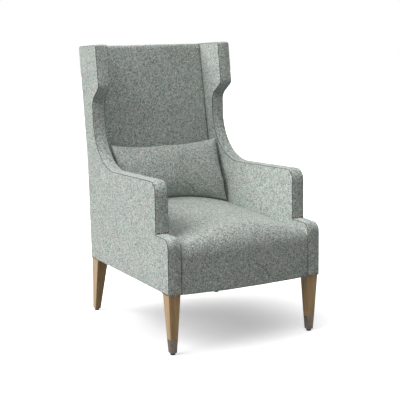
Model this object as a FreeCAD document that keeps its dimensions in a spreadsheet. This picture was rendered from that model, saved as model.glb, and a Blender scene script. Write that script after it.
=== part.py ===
"""A wing armchair with a tight seat, a step in front of each arm and a loose lumbar pillow.

Lengths are millimetres. +Z is up, the front faces -Y and the origin is on the floor, under the
middle of the overall box. Most places are given in three measures: "inset" is how far a layer
lies inside the outer face of a side, along X; "setback" is how far it lies behind the front of
the base, along Y; height is above the floor.
"""
import FreeCAD, Part
import math
import os
import re
from functools import lru_cache

from FreeCAD import Placement, Rotation, Vector

# Every driving dimension has its name here once, and its cell in the sheet.
SIZES = {
    # The envelope
    "half_width": 329,
    "side_slope": 0.03,
    "overall_depth": 837,
    "overall_height": 1118,
    # The outline of a side, from the foot of the front up and over to the foot of the back
    "base_bottom": 228,
    "step_height": 434,
    "step_rise": 4,
    "step_curve": 35,
    "arm_setback": 102,
    "arm_height": 633,
    "arm_fall": 14,
    "arm_curve": 42,
    "waist_rake": 140,
    "waist_curve": 200,
    "flare_height": 893,
    "flare_curve": 45,
    "tip_rake": 211,
    "tip_height": 945,
    "tip_curve": 25,
    "wing_top_rake": 188,
    "top_curve": 10,
    "back_top_fall": 8.5,
    "knee_rake": 61,
    "knee_height": 649,
    "knee_curve": 2200,
    "back_foot_rake": 75,
    # The layers
    "side_thickness": 55.5,
    "cover": 2,
    "board": 3,
    "wadding": 5,
    "soft_gap": 0.3,
    # The wooden frame
    "stock": 25,
    "rail_height": 76,
    "post_width": 45,
    "back_post_depth": 22,
    "arm_post_depth": 40,
    "arm_rail_height": 42,
    "wing_post_depth": 44,
    "top_rail_height": 55,
    "tack_rail_bottom": 335,
    "tack_rail_height": 50,
    "block_leg": 84,
    "block_height": 45,
    "block_nose": 12,
    # The deck
    "deck_rise": 12,
    "wire": 3.8,
    "spring_width": 50,
    "spring_pitch": 90,
    "spring_count": 5,
    "spring_bars": 24,
    "clip_length": 30,
    "clip_depth": 13,
    "clip_wall": 1.2,
    "clip_play": 0.3,
    "insulator_margin": 14,
    "strap_height": 50,
    "strap_pitch": 118,
    "strap_bottom": 395,
    "strap_thickness": 2,
    "strap_landing": 18,
    # The seat
    "seat_front_height": 403,
    "seat_front_crown": 50,
    "seat_rear_height": 448,
    "seat_rear_crown": 38,
    "seat_bulge": 4,
    "seat_edge_roll": 40,
    "seat_middle_roll": 95,
    # The inside back
    "face_low_rake": 153,
    "face_low_height": 440,
    "face_high_rake": 37,
    "face_high_fall": 18,
    "back_crown": 20,
    "back_roll": 14,
    "back_pad_bottom": 330,
    # The lumbar pillow, in its own leaning plane
    "pillow_side_room": 10.25,
    "pillow_reach": 114.274,
    "pillow_sink": 41.7,
    "pillow_lean": 23,
    "pillow_height": 279,
    "pillow_top_dip": 16,
    "pillow_foot_rise": 42,
    "pillow_front_swell": 62,
    "pillow_back_swell": 51.2,
    "pillow_seam": 6,
    "pillow_side_dip": 9,
    "pillow_cover": 1.5,
    # The legs, ferrules and glides
    "leg_gap": 2.6,
    "front_leg_setback": 7.4,
    "leg_top": 48,
    "leg_foot": 24,
    "rear_leg_rake": 138,
    "rear_leg_depth": 58,
    "rear_foot_rake": 97,
    "rear_foot_depth": 26,
    "glide_height": 8,
    "glide_diameter": 20,
    "glide_edge": 2,
    "ferrule_top": 60,
    "ferrule_wall": 1,
    "ferrule_play": 0.05,
    # The leg fixings
    "bolt_diameter": 8,
    "bolt_in_leg": 40,
    "bolt_in_post": 32,
    "bolt_play": 0.2,
    "tee_flange": 18,
    "tee_flange_thickness": 1.5,
    "tee_barrel": 10,
    "tee_barrel_height": 12,
    # The trim and the underside
    "nail_diameter": 7,
    "nail_rise": 2.4,
    "nail_pitch": 8.6,
    "nail_row": 6,
    "nail_line": 4.8,
    "dust_cover": 1,
    "staple_length": 10,
    "staple_wire": 0.6,
    "staple_count": 7,
}

# Places that follow from the sizes: a rake is how far one lies in front of the back's rear face
PLACES = {
    "waist_setback": "overall_depth - waist_rake",
    "tip_setback": "overall_depth - tip_rake",
    "wing_top_setback": "overall_depth - wing_top_rake",
    "back_top_height": "overall_height - back_top_fall",
    "knee_setback": "overall_depth - knee_rake",
    "back_foot_setback": "overall_depth - back_foot_rake",
    "deck_height": "base_bottom + cover + rail_height + deck_rise",
    "face_low_setback": "overall_depth - face_low_rake",
    "face_high_setback": "overall_depth - face_high_rake",
    "face_high_height": "overall_height - face_high_fall",
    "rear_leg_setback": "overall_depth - rear_leg_rake",
    "rear_foot_setback": "overall_depth - rear_foot_rake",
    "pillow_foot_height": "seat_rear_height + seat_rear_crown - pillow_sink",
}

UPRIGHT = Rotation(Vector(1, 1, 1), 120)
ACROSS, UP = Vector(1, 0, 0), Vector(0, 0, 1)

doc = FreeCAD.newDocument("wing_armchair")
sheet = doc.addObject("Spreadsheet::Sheet", "Sizes")
for row, (alias, size) in enumerate(SIZES.items(), start=1):
    sheet.set(f"A{row}", alias)
    sheet.set(f"B{row}", str(size))
    sheet.setAlias(f"B{row}", alias)
doc.recompute()

pieces = []


def cell_or_place(word):
    """What one name in an expression stands for."""
    if word[0] in PLACES:
        return f"({sized(PLACES[word[0]])})"
    return f"Sizes.{word[0]}" if word[0] in SIZES else word[0]


def sized(text):
    """The expression for a piece of text, in which each named size is its cell."""
    return re.sub(r"[a-z][a-z_]*", cell_or_place, text)


def value(text):
    """What such an expression comes to."""
    result = sheet.evalExpression(sized(text))
    return float(getattr(result, "Value", result))


def bind(thing, **texts):
    """Tie properties of an object to named sizes."""
    for name, text in texts.items():
        thing.setExpression(name, sized(text))


def add(kind, label):
    """A new object of the document."""
    thing = doc.addObject(kind, label)
    thing.Label = label
    return thing


def keep(thing):
    """Count an object as one of the chair's pieces."""
    pieces.append(thing)
    return thing


def draw_outline(sketch, corners):
    """Draw a closed outline through corners of (along, up) or (along, up, radius)."""
    count = len(corners)
    at = [Vector(value(corner[0]), value(corner[1]), 0) for corner in corners]
    arrive, leave, arcs = list(at), list(at), {}
    for i, corner in enumerate(corners):
        if len(corner) < 3:
            continue
        radius = value(corner[2])
        back = (at[i - 1] - at[i]).normalize()
        ahead = (at[(i + 1) % count] - at[i]).normalize()
        half = back.getAngle(ahead) / 2
        arrive[i] = at[i] + back * (radius / math.tan(half))
        leave[i] = at[i] + ahead * (radius / math.tan(half))
        centre = at[i] + (back + ahead).normalize() * (radius / math.sin(half))
        turns_left = (-back).cross(ahead).z > 0
        first, last = (arrive[i], leave[i]) if turns_left else (leave[i], arrive[i])
        start = math.atan2(first.y - centre.y, first.x - centre.x)
        stop = math.atan2(last.y - centre.y, last.x - centre.x)
        if stop < start:
            stop += 2 * math.pi
        circle = Part.Circle(centre, Vector(0, 0, 1), radius)
        arcs[i] = (sketch.addGeometry(Part.ArcOfCircle(circle, start, stop)), turns_left)
    lines = [
        sketch.addGeometry(Part.LineSegment(leave[i], arrive[(i + 1) % count]))
        for i in range(count)
    ]
    for i, corner in enumerate(corners):
        if i not in arcs:
            tie(sketch, "Coincident", lines[i - 1], 2, lines[i], 1)
            set_place(sketch, lines[i], corner)
            continue
        arc, turns_left = arcs[i]
        first, last = (1, 2) if turns_left else (2, 1)
        tie(sketch, "Tangent", lines[i - 1], 2, arc, first)
        tie(sketch, "Tangent", arc, last, lines[i], 1)
        bind_constraint(sketch, tie(sketch, "Radius", arc, value(corner[2])), corner[2])
        mark = sketch.addGeometry(Part.Point(at[i]), True)
        tie(sketch, "PointOnObject", mark, 1, lines[i - 1])
        tie(sketch, "PointOnObject", mark, 1, lines[i])
        set_place(sketch, mark, corner)


def tie(sketch, *terms):
    """Add one constraint to a sketch, and give its number."""
    from Sketcher import Constraint

    return sketch.addConstraint(Constraint(*terms))


def bind_constraint(sketch, number, text):
    """Tie a constraint's datum to named sizes."""
    sketch.setExpression(f"Constraints[{number}]", sized(text))


def set_place(sketch, geometry, corner):
    """Hold the first point of a line or point at its place in the sketch."""
    for kind, axis, text in (("DistanceX", -2, corner[0]), ("DistanceY", -1, corner[1])):
        if text == "0":
            tie(sketch, "PointOnObject", geometry, 1, axis)
        else:
            number = tie(sketch, kind, -1, 1, geometry, 1, value(text))
            bind_constraint(sketch, number, text)


def fan_plane(share):
    """The upright plane at a share of the half width, which slopes as much as that share.

    The share is -1 at the outer face of the left side and 1 at that of the right side.
    """
    lean = math.degrees(math.atan(share * value("side_slope")))
    return Placement(
        Vector(share * value("half_width"), value("-overall_depth / 2"), 0),
        Rotation(Vector(0, 0, 1), lean) * UPRIGHT,
    )


def plan_plane(height):
    """The level plane at a height, with its origin at the front of the base."""
    return Placement(Vector(0, value("-overall_depth / 2"), value(height)), Rotation())


def free_sketch(label, place, corners):
    """A sketch of one closed outline in a plane."""
    sketch = add("Sketcher::SketchObject", label)
    sketch.Placement = place
    draw_outline(sketch, corners)
    return sketch


def extrude(label, profile, start, stop, direction):
    """A solid from a closed profile, between two distances along a direction."""
    solid = add("Part::Extrusion", label)
    solid.Base = profile
    solid.DirMode = "Custom"
    solid.Dir = direction
    solid.Solid = True
    bind(solid, LengthFwd=stop, LengthRev=f"-({start})")
    return solid


def inset_outline(label, sketch, distance):
    """A sketch's outline, drawn in by a distance."""
    drawn_in = add("Part::Offset2D", label)
    drawn_in.Source = sketch
    drawn_in.Value = -value(distance)
    bind(drawn_in, Value=f"-({distance})")
    return drawn_in


def combine(kind, label, base, tool):
    """A cut or a common of two solids."""
    solid = add(kind, label)
    solid.Base = base
    solid.Tool = tool
    return solid


def cut(label, base, *tools):
    """A solid less each of the tools in turn."""
    for number, tool in enumerate(tools, start=1):
        name = label if number == len(tools) else f"{label}_less_{number}"
        base = combine("Part::Cut", name, base, tool)
    return base


def common(label, base, tool):
    """What two solids share."""
    return combine("Part::Common", label, base, tool)


def both_sides(name, left):
    """Keep a piece of the left side and its mirror image."""
    left.Label = f"{name}_left"
    keep(left)
    right = add("Part::Mirroring", f"{name}_right")
    right.Source = left
    right.Normal = ACROSS
    return keep(right)


def half_room(inset, setback):
    """The distance from the middle plane to the plane at an inset, at a setback."""
    return f"half_width - ({inset}) - side_slope * ({setback})"


@lru_cache
def plan_slice(left, right):
    """The upright room between two planes that slope as the sides do.

    Each plane is a sign and an inset, and the sign says which side of the chair it is on.
    """
    near, far = "-overall_depth / 10", "overall_depth * 1.1"
    (left_sign, left_inset), (right_sign, right_inset) = left, right
    corners = [
        (f"{left_sign}({half_room(left_inset, near)})", near),
        (f"{right_sign}({half_room(right_inset, near)})", near),
        (f"{right_sign}({half_room(right_inset, far)})", far),
        (f"{left_sign}({half_room(left_inset, far)})", far),
    ]
    sketch = free_sketch("slice_plan", plan_plane("0"), corners)
    return extrude("slice", sketch, "0", "overall_height * 1.1", UP)


def side_layer(label, profile, start, stop):
    """A layer of the left side, between two insets."""
    run = extrude(f"{label}_run", profile, "-half_width", "-half_width / 2", ACROSS)
    return common(label, run, plan_slice(("-", start), ("-", stop)))


def side_block(label, corners, start, stop):
    """A block of the left side with an outline of its own, between two insets."""
    return side_layer(label, free_sketch(f"{label}_outline", fan_plane(0), corners), start, stop)


def across(label, corners, inset=None):
    """A piece that runs from side to side, or to the planes at an inset."""
    sketch = free_sketch(f"{label}_outline", fan_plane(0), corners)
    run = extrude(f"{label}_run", sketch, "-half_width", "half_width", ACROSS)
    return common(label, run, plan_slice(("-", inset), ("", inset))) if inset else run


def rear_line(height, depth):
    """The setback of a layer of the back, a depth in front of its rear face, at a height."""
    low = "(knee_setback - back_foot_setback) / (knee_height - base_bottom)"
    high = "(overall_depth - knee_setback) / (back_top_height - knee_height)"
    slope = low if value(f"({height}) - knee_height") < 0 else high
    return f"knee_setback - ({depth}) + (({height}) - knee_height) * {slope}"


def top_line(setback, drop):
    """The height of the top of the wings and back at a setback, less a drop."""
    slope = "(overall_height - back_top_height) / (overall_depth - wing_top_setback)"
    return f"overall_height - (({setback}) - wing_top_setback) * {slope} - ({drop})"


def knee(depth):
    """The corner where the back bends, in a layer of the back."""
    return (f"knee_setback - ({depth})", "knee_height", "knee_curve")


def back_face(height, crown_share):
    """The setback of the inside back's face, at a height and a share of its crown."""
    slope = "(face_high_setback - face_low_setback) / (face_high_height - face_low_height)"
    swell = f" - back_crown * {crown_share}"
    return f"face_low_setback + (({height}) - face_low_height) * {slope}{swell}"


# The outline of a side, which all its layers share
SIDE_CORNERS = [
    ("0", "base_bottom"),
    ("0", "step_height", "step_curve"),
    ("arm_setback", "step_height + step_rise"),
    ("arm_setback", "arm_height", "arm_curve"),
    ("waist_setback", "arm_height - arm_fall", "waist_curve"),
    ("waist_setback", "flare_height", "flare_curve"),
    ("tip_setback", "tip_height", "tip_curve"),
    ("wing_top_setback", "overall_height", "top_curve"),
    ("overall_depth", "back_top_height", "top_curve"),
    ("knee_setback", "knee_height", "knee_curve"),
    ("back_foot_setback", "base_bottom"),
]
side_outline = free_sketch("side_outline", fan_plane(0), SIDE_CORNERS)
under_cover = inset_outline("under_cover", side_outline, "cover")
under_wadding = inset_outline("under_wadding", side_outline, "cover + wadding")

# Where the layers lie, from the outer face of a side inwards and from the back face forwards
BOARD_FACE = "cover"
FRAME_FACE = "cover + board"
FRAME_INNER = "cover + board + stock"
POST_INNER = "cover + board + post_width"
PAD_INNER = "side_thickness - cover"
ROOM = "side_thickness + soft_gap"
FRAME_FRONT = "cover + wadding"
FRAME_BOTTOM = "base_bottom + cover"
RAIL_TOP = "base_bottom + cover + rail_height"
POST_DEPTH = "cover + board + back_post_depth"
STRAP_DEPTH = f"{POST_DEPTH} + strap_thickness"
TOP_DROP = "cover + wadding"


def rear_room(label, depth):
    """All that lies behind a layer of the back and under the lip of its top."""
    beyond = "overall_depth * 1.1"
    below = "base_bottom / 2"
    front_top = top_line(f"overall_depth - ({depth})", TOP_DROP)
    corners = [
        (rear_line(below, depth), below),
        knee(depth),
        (rear_line(front_top, depth), front_top),
        (beyond, top_line(beyond, TOP_DROP)),
        (beyond, below),
    ]
    return across(label, corners)


def deck_room(label):
    """All that lies under the deck and behind the padding of the front."""
    beyond = "overall_depth * 1.1"
    corners = [
        (FRAME_FRONT, "0"),
        (beyond, "0"),
        (beyond, "deck_height"),
        (FRAME_FRONT, "deck_height"),
    ]
    return across(label, corners)


behind_posts = rear_room("behind_posts", POST_DEPTH)
behind_straps = rear_room("behind_straps", f"{STRAP_DEPTH} + soft_gap")
under_deck = deck_room("under_deck")


def back_layer(label, near, far, bottom, drop, inset):
    """A sheet of the back, between two depths, two heights and the planes at an inset."""
    tops = [top_line(f"overall_depth - ({depth})", drop) for depth in (near, far)]
    corners = [
        (rear_line(bottom, near), bottom),
        knee(near),
        (rear_line(tops[0], near), tops[0]),
        (rear_line(tops[1], far), tops[1]),
        knee(far),
        (rear_line(bottom, far), bottom),
    ]
    return across(label, corners, inset)


def back_rail(label, bottom, top, inset):
    """A straight rail of the back, as deep as the posts it joins."""
    corners = [
        (rear_line(bottom, FRAME_FACE), bottom),
        (rear_line(top, FRAME_FACE), top),
        (rear_line(top, POST_DEPTH), top),
        (rear_line(bottom, POST_DEPTH), bottom),
    ]
    return keep(across(label, corners, inset))


# The posts and rails of a side frame
front_post_outline = [
    (FRAME_FRONT, FRAME_BOTTOM),
    (FRAME_FRONT, f"step_height - ({TOP_DROP})", f"step_curve - ({TOP_DROP})"),
    (f"{FRAME_FRONT} + post_width", f"step_height - ({TOP_DROP})"),
    (f"{FRAME_FRONT} + post_width", FRAME_BOTTOM),
]
front_post_blank = side_block("front_post_blank", front_post_outline, FRAME_FACE, POST_INNER)

POST_TOP = top_line(f"overall_depth - ({FRAME_FACE})", TOP_DROP)
POST_TOP_FRONT = top_line(f"overall_depth - ({POST_DEPTH})", TOP_DROP)
back_post_outline = [
    (rear_line(FRAME_BOTTOM, FRAME_FACE), FRAME_BOTTOM),
    knee(FRAME_FACE),
    (rear_line(POST_TOP, FRAME_FACE), POST_TOP),
    (rear_line(POST_TOP_FRONT, POST_DEPTH), POST_TOP_FRONT),
    knee(POST_DEPTH),
    (rear_line(FRAME_BOTTOM, POST_DEPTH), FRAME_BOTTOM),
]
back_post_blank = side_block("back_post_blank", back_post_outline, FRAME_FACE, POST_INNER)


def frame_member(name, corners, *neighbours):
    """A member of the side frame, sawn to the side's outline and to its neighbours."""
    blank = side_layer(f"{name}_blank", under_wadding, FRAME_FACE, FRAME_INNER)
    region = side_block(f"{name}_region", corners, FRAME_FACE, FRAME_INNER)
    shaped = common(f"{name}_shaped", blank, region)
    left = cut(name, shaped, behind_posts, *neighbours)
    both_sides(name, left)
    return left


POST_BACK = f"{FRAME_FRONT} + post_width"
ARM_POST_FRONT = f"arm_setback + {FRAME_FRONT}"
ARM_POST_BACK = f"{ARM_POST_FRONT} + arm_post_depth"
ARM_RAIL_TOP = f"arm_height - arm_fall - ({TOP_DROP})"
ARM_RAIL_BOTTOM = f"{ARM_RAIL_TOP} - arm_rail_height"
WING_RAIL_BOTTOM = f"overall_height - ({TOP_DROP}) - top_rail_height"
STEP_TOP = f"step_height - ({TOP_DROP})"

side_rail = side_block(
    "side_rail",
    [
        (POST_BACK, FRAME_BOTTOM),
        (rear_line(FRAME_BOTTOM, POST_DEPTH), FRAME_BOTTOM),
        (rear_line(RAIL_TOP, POST_DEPTH), RAIL_TOP),
        (POST_BACK, RAIL_TOP),
    ],
    FRAME_FACE,
    FRAME_INNER,
)
both_sides("side_seat_rail", side_rail)

frame_member(
    "arm_post",
    [
        (ARM_POST_FRONT, RAIL_TOP),
        (ARM_POST_BACK, RAIL_TOP),
        (ARM_POST_BACK, "arm_height"),
        (ARM_POST_FRONT, "arm_height"),
    ],
)
frame_member(
    "step_rail",
    [
        (POST_BACK, f"{STEP_TOP} - arm_rail_height"),
        (ARM_POST_FRONT, f"{STEP_TOP} - arm_rail_height"),
        (ARM_POST_FRONT, "step_height"),
        (POST_BACK, "step_height"),
    ],
)
frame_member(
    "arm_rail",
    [
        (ARM_POST_BACK, ARM_RAIL_BOTTOM),
        ("overall_depth", ARM_RAIL_BOTTOM),
        ("overall_depth", ARM_RAIL_TOP),
        ("waist_setback - waist_curve", ARM_RAIL_TOP),
        ("waist_setback - waist_curve", "arm_height"),
        (ARM_POST_BACK, "arm_height"),
    ],
)
wing_top_rail = frame_member(
    "wing_top_rail",
    [
        ("tip_setback", WING_RAIL_BOTTOM),
        ("overall_depth", WING_RAIL_BOTTOM),
        ("overall_depth", "overall_height"),
        ("tip_setback", "overall_height"),
    ],
)
WING_FRONT = f"wing_top_setback + {TOP_DROP} + wing_post_depth"
frame_member(
    "wing_post",
    [
        ("waist_setback - waist_curve", ARM_RAIL_TOP),
        (f"waist_setback + {TOP_DROP} + wing_post_depth", ARM_RAIL_TOP),
        (f"waist_setback + {TOP_DROP} + wing_post_depth", "flare_height"),
        (WING_FRONT, "tip_height + tip_curve"),
        (WING_FRONT, WING_RAIL_BOTTOM),
        ("tip_setback", WING_RAIL_BOTTOM),
        ("waist_setback - waist_curve", "flare_height"),
    ],
    wing_top_rail,
)

# The rails that join the two side frames
front_rail_outline = [
    (FRAME_FRONT, FRAME_BOTTOM),
    (f"{FRAME_FRONT} + stock", FRAME_BOTTOM),
    (f"{FRAME_FRONT} + stock", RAIL_TOP),
    (FRAME_FRONT, RAIL_TOP),
]
keep(across("front_seat_rail", front_rail_outline, POST_INNER))
back_rail("rear_seat_rail", FRAME_BOTTOM, RAIL_TOP, POST_INNER)
back_rail("back_tack_rail", "tack_rail_bottom", "tack_rail_bottom + tack_rail_height", POST_INNER)
LOW_TOP = f"back_top_height - ({TOP_DROP})"
back_rail("back_top_rail", f"{LOW_TOP} - top_rail_height", LOW_TOP, POST_INNER)


def corner_block(label, corners):
    """A glued block in a corner of the seat frame, drawn in plan for the left side."""
    plan = [(f"-({half_room(inset, setback)})", setback) for inset, setback in corners]
    sketch = free_sketch(f"{label}_plan", plan_plane("0"), plan)
    top = f"{RAIL_TOP} - stock / 2"
    return extrude(label, sketch, f"{top} - block_height", top, UP)


RAIL_BACK = f"{FRAME_FRONT} + stock"
REAR_RAIL_FRONT = rear_line(FRAME_BOTTOM, POST_DEPTH)
front_block = corner_block(
    "front_corner_block",
    [
        (FRAME_INNER, POST_BACK),
        (POST_INNER, POST_BACK),
        (POST_INNER, RAIL_BACK),
        (f"{FRAME_INNER} + block_leg", RAIL_BACK),
        (f"{FRAME_INNER} + block_leg", f"{RAIL_BACK} + block_nose"),
        (f"{FRAME_INNER} + block_nose", f"{RAIL_BACK} + block_leg"),
        (FRAME_INNER, f"{RAIL_BACK} + block_leg"),
    ],
)
rear_block = corner_block(
    "rear_corner_block",
    [
        (FRAME_INNER, f"{REAR_RAIL_FRONT} - block_leg"),
        (f"{FRAME_INNER} + block_nose", f"{REAR_RAIL_FRONT} - block_leg"),
        (f"{FRAME_INNER} + block_leg", f"{REAR_RAIL_FRONT} - block_nose"),
        (f"{FRAME_INNER} + block_leg", REAR_RAIL_FRONT),
        (FRAME_INNER, REAR_RAIL_FRONT),
    ],
)


def group(label, shapes):
    """Keep several like solids as one piece."""
    thing = add("Part::Feature", label)
    thing.Shape = Part.makeCompound(shapes)
    return keep(thing)


def mirrored(shape):
    """The mirror image of a shape on the other side of the chair."""
    return shape.mirror(Vector(), ACROSS)


doc.recompute()
block_shapes = [block.Shape for block in (front_block, rear_block)]
group("corner_blocks", block_shapes + [mirrored(shape) for shape in block_shapes])

# The legs, drawn for the left side and tapered to the foot
FRONT_LEG_OUTER = half_room("leg_gap", "front_leg_setback + leg_top")
REAR_LEG_OUTER = half_room("leg_gap", "rear_leg_setback + rear_leg_depth")
FRONT_LEG_X = f"-({FRONT_LEG_OUTER} - leg_top / 2)"
FRONT_LEG_Y = "front_leg_setback + leg_top / 2"
REAR_BOLT_X = f"-({REAR_LEG_OUTER} - leg_top / 2)"
REAR_BOLT_Y = rear_line(FRAME_BOTTOM, f"{FRAME_FACE} + back_post_depth / 2")
LEG_HEIGHT = f"{FRAME_BOTTOM} - glide_height"


def new_body(label, place):
    """An empty body with a place of its own."""
    body = add("PartDesign::Body", label)
    body.Placement = place
    return body


def plane_of(body, role):
    """One of a body's own origin planes."""
    return next(plane for plane in body.Origin.OriginFeatures if plane.Role == role)


def body_sketch(body, role, corners, offset="0"):
    """A closed outline on one of a body's planes, moved along its normal by an offset."""
    sketch = body.newObject("Sketcher::SketchObject", f"{body.Name}_sketch")
    sketch.AttachmentSupport = [(plane_of(body, role), "")]
    sketch.MapMode = "FlatFace"
    if offset != "0":
        sketch.setExpression("AttachmentOffset.Base.z", sized(offset))
    draw_outline(sketch, corners)
    return sketch


def loft(body, kind, low, high):
    """A straight loft between two sketches of a body."""
    feature = body.newObject(kind, f"{body.Name}_loft")
    feature.Profile = low
    feature.Sections = [high]
    feature.Ruled = True
    return feature


def rectangle(x_low, x_high, y_low, y_high):
    """The corners of a rectangle."""
    return [(x_low, y_low), (x_high, y_low), (x_high, y_high), (x_low, y_high)]


def square(side):
    """The corners of a square about the origin."""
    half = f"({side}) / 2"
    return rectangle(f"-({half})", half, f"-({half})", half)


def leg_side(height):
    """How wide a front leg is at a height above the floor."""
    taper = f"(leg_top - leg_foot) / ({LEG_HEIGHT})"
    return f"leg_foot + (({height}) - glide_height) * {taper}"


def turned(label, place, profile):
    """A solid of revolution about the vertical through its place."""
    body = new_body(label, place)
    sketch = body_sketch(body, "XZ_Plane", profile)
    feature = body.newObject("PartDesign::Revolution", f"{body.Name}_turn")
    feature.Profile = sketch
    feature.ReferenceAxis = (sketch, ["V_Axis"])
    feature.Angle = 360
    return body


def spot(x, y, height):
    """A placement at a distance from the middle plane, a setback and a height."""
    return Placement(
        Vector(value(x), value(y) - value("overall_depth / 2"), value(height)), Rotation()
    )


bolt_room = "bolt_diameter / 2 + bolt_play"
barrel_room = "tee_barrel / 2 + bolt_play"
flange_room = "tee_flange / 2 + bolt_play"
BORE_TOP = "bolt_in_post + bolt_play"
bolt_profile = [
    ("0", "-bolt_in_leg"),
    ("bolt_diameter / 2", "-bolt_in_leg"),
    ("bolt_diameter / 2", "bolt_in_post"),
    ("0", "bolt_in_post"),
]
leg_bore_profile = [
    ("0", "-(bolt_in_leg + bolt_play)"),
    (bolt_room, "-(bolt_in_leg + bolt_play)"),
    (bolt_room, "bolt_play"),
    ("0", "bolt_play"),
]
nut_profile = [
    (bolt_room, "0"),
    ("tee_flange / 2", "0"),
    ("tee_flange / 2", "tee_flange_thickness"),
    ("tee_barrel / 2", "tee_flange_thickness"),
    ("tee_barrel / 2", "tee_barrel_height"),
    (bolt_room, "tee_barrel_height"),
]
nut_bore_profile = [
    ("0", "-bolt_play"),
    (flange_room, "-bolt_play"),
    (flange_room, "tee_flange_thickness"),
    (barrel_room, "tee_flange_thickness"),
    (barrel_room, "tee_barrel_height + bolt_play"),
    (bolt_room, "tee_barrel_height + bolt_play"),
    (bolt_room, BORE_TOP),
    ("0", BORE_TOP),
]

# A front leg ends in a shouldered tenon, which its ferrule slides over
front_leg = new_body("front_leg_blank", spot(FRONT_LEG_X, FRONT_LEG_Y, "glide_height"))
TENON_LESS = "2 * (ferrule_wall + ferrule_play)"
shoulder = "ferrule_top - glide_height"
loft(
    front_leg,
    "PartDesign::AdditiveLoft",
    body_sketch(front_leg, "XY_Plane", square(leg_side("ferrule_top")), shoulder),
    body_sketch(front_leg, "XY_Plane", square("leg_top"), LEG_HEIGHT),
)
loft(
    front_leg,
    "PartDesign::AdditiveLoft",
    body_sketch(front_leg, "XY_Plane", square(f"leg_foot - {TENON_LESS}"), "ferrule_wall"),
    body_sketch(
        front_leg, "XY_Plane", square(f"{leg_side('ferrule_top')} - {TENON_LESS}"), shoulder
    ),
)
FERRULE_INNER = f"{leg_side('ferrule_top')} - 2 * ferrule_wall"
ferrule = new_body("ferrule", front_leg.Placement)
loft(
    ferrule,
    "PartDesign::AdditiveLoft",
    body_sketch(ferrule, "XY_Plane", square("leg_foot")),
    body_sketch(ferrule, "XY_Plane", square(leg_side("ferrule_top")), shoulder),
)
loft(
    ferrule,
    "PartDesign::SubtractiveLoft",
    body_sketch(ferrule, "XY_Plane", square("leg_foot - 2 * ferrule_wall"), "ferrule_wall"),
    body_sketch(ferrule, "XY_Plane", square(FERRULE_INNER), shoulder),
)

# A rear leg keeps its outer face upright, tapers on the inside and rakes backwards
rear_leg = new_body(
    "rear_leg_blank", spot(f"-({REAR_LEG_OUTER})", "rear_leg_setback", "glide_height")
)
foot_front = "rear_foot_setback - rear_leg_setback"
loft(
    rear_leg,
    "PartDesign::AdditiveLoft",
    body_sketch(
        rear_leg,
        "XY_Plane",
        rectangle("0", "leg_foot", foot_front, f"{foot_front} + rear_foot_depth"),
    ),
    body_sketch(
        rear_leg, "XY_Plane", rectangle("0", "leg_top", "0", "rear_leg_depth"), LEG_HEIGHT
    ),
)

# Each leg is drawn up to its post by a bolt that turns into a barrel nut
front_spot = spot(FRONT_LEG_X, FRONT_LEG_Y, FRAME_BOTTOM)
rear_spot = spot(REAR_BOLT_X, REAR_BOLT_Y, FRAME_BOTTOM)
bolts, nuts = [], []
for end, place, leg, post in (
    ("front", front_spot, front_leg, front_post_blank),
    ("rear", rear_spot, rear_leg, back_post_blank),
):
    bolts.append(turned(f"{end}_bolt", place, bolt_profile))
    nuts.append(turned(f"{end}_nut", place, nut_profile))
    leg_bore = turned(f"{end}_leg_bore", place, leg_bore_profile)
    nut_bore = turned(f"{end}_nut_bore", place, nut_bore_profile)
    both_sides(f"{end}_leg", cut(f"{end}_leg", leg, leg_bore))
    post_name = "base_front_post" if end == "front" else "back_post"
    both_sides(post_name, cut(post_name, post, nut_bore))
both_sides("leg_ferrule", ferrule)

glide_profile = [
    ("0", "0"),
    ("glide_diameter / 2", "0", "glide_edge"),
    ("glide_diameter / 2", "glide_height"),
    ("0", "glide_height"),
]
REAR_FOOT_X = f"-({REAR_LEG_OUTER} - leg_foot / 2)"
REAR_FOOT_Y = "rear_foot_setback + rear_foot_depth / 2"
glides = [
    turned("front_glide", spot(FRONT_LEG_X, FRONT_LEG_Y, "0"), glide_profile),
    turned("rear_glide", spot(REAR_FOOT_X, REAR_FOOT_Y, "0"), glide_profile),
]
doc.recompute()
for label, bodies in (("leg_bolts", bolts), ("leg_nuts", nuts), ("floor_glides", glides)):
    shapes = [body.Shape for body in bodies]
    group(label, shapes + [mirrored(shape) for shape in shapes])

# The padding and covers of a side
keep_front_post = side_block("front_post_room", front_post_outline, FRAME_INNER, POST_INNER)
both_sides(
    "outside_cover", side_layer("outside_cover_left", side_outline, "0", BOARD_FACE)
)
both_sides(
    "outside_board", side_layer("outside_board_left", under_cover, BOARD_FACE, FRAME_FACE)
)
wadding_band = cut(
    "wadding_band",
    side_layer("wadding_outer", under_cover, FRAME_FACE, FRAME_INNER),
    side_layer("wadding_inner", under_wadding, FRAME_FACE, FRAME_INNER),
)
both_sides("edge_wadding", cut("edge_wadding", wadding_band, under_deck, behind_posts))
boxing_band = cut(
    "boxing_band",
    side_layer("boxing_outer", side_outline, BOARD_FACE, PAD_INNER),
    side_layer("boxing_inner", under_cover, BOARD_FACE, PAD_INNER),
)
both_sides("boxing_strip", cut("boxing_strip", boxing_band, under_deck, behind_straps))
side_pad = side_layer("side_pad_whole", under_cover, FRAME_INNER, PAD_INNER)
both_sides(
    "side_pad", cut("side_pad", side_pad, under_deck, behind_straps, keep_front_post)
)
inside_cover = side_layer("inside_cover_whole", side_outline, PAD_INNER, "side_thickness")
both_sides(
    "inside_side_cover", cut("inside_side_cover", inside_cover, under_deck, behind_straps)
)

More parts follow.
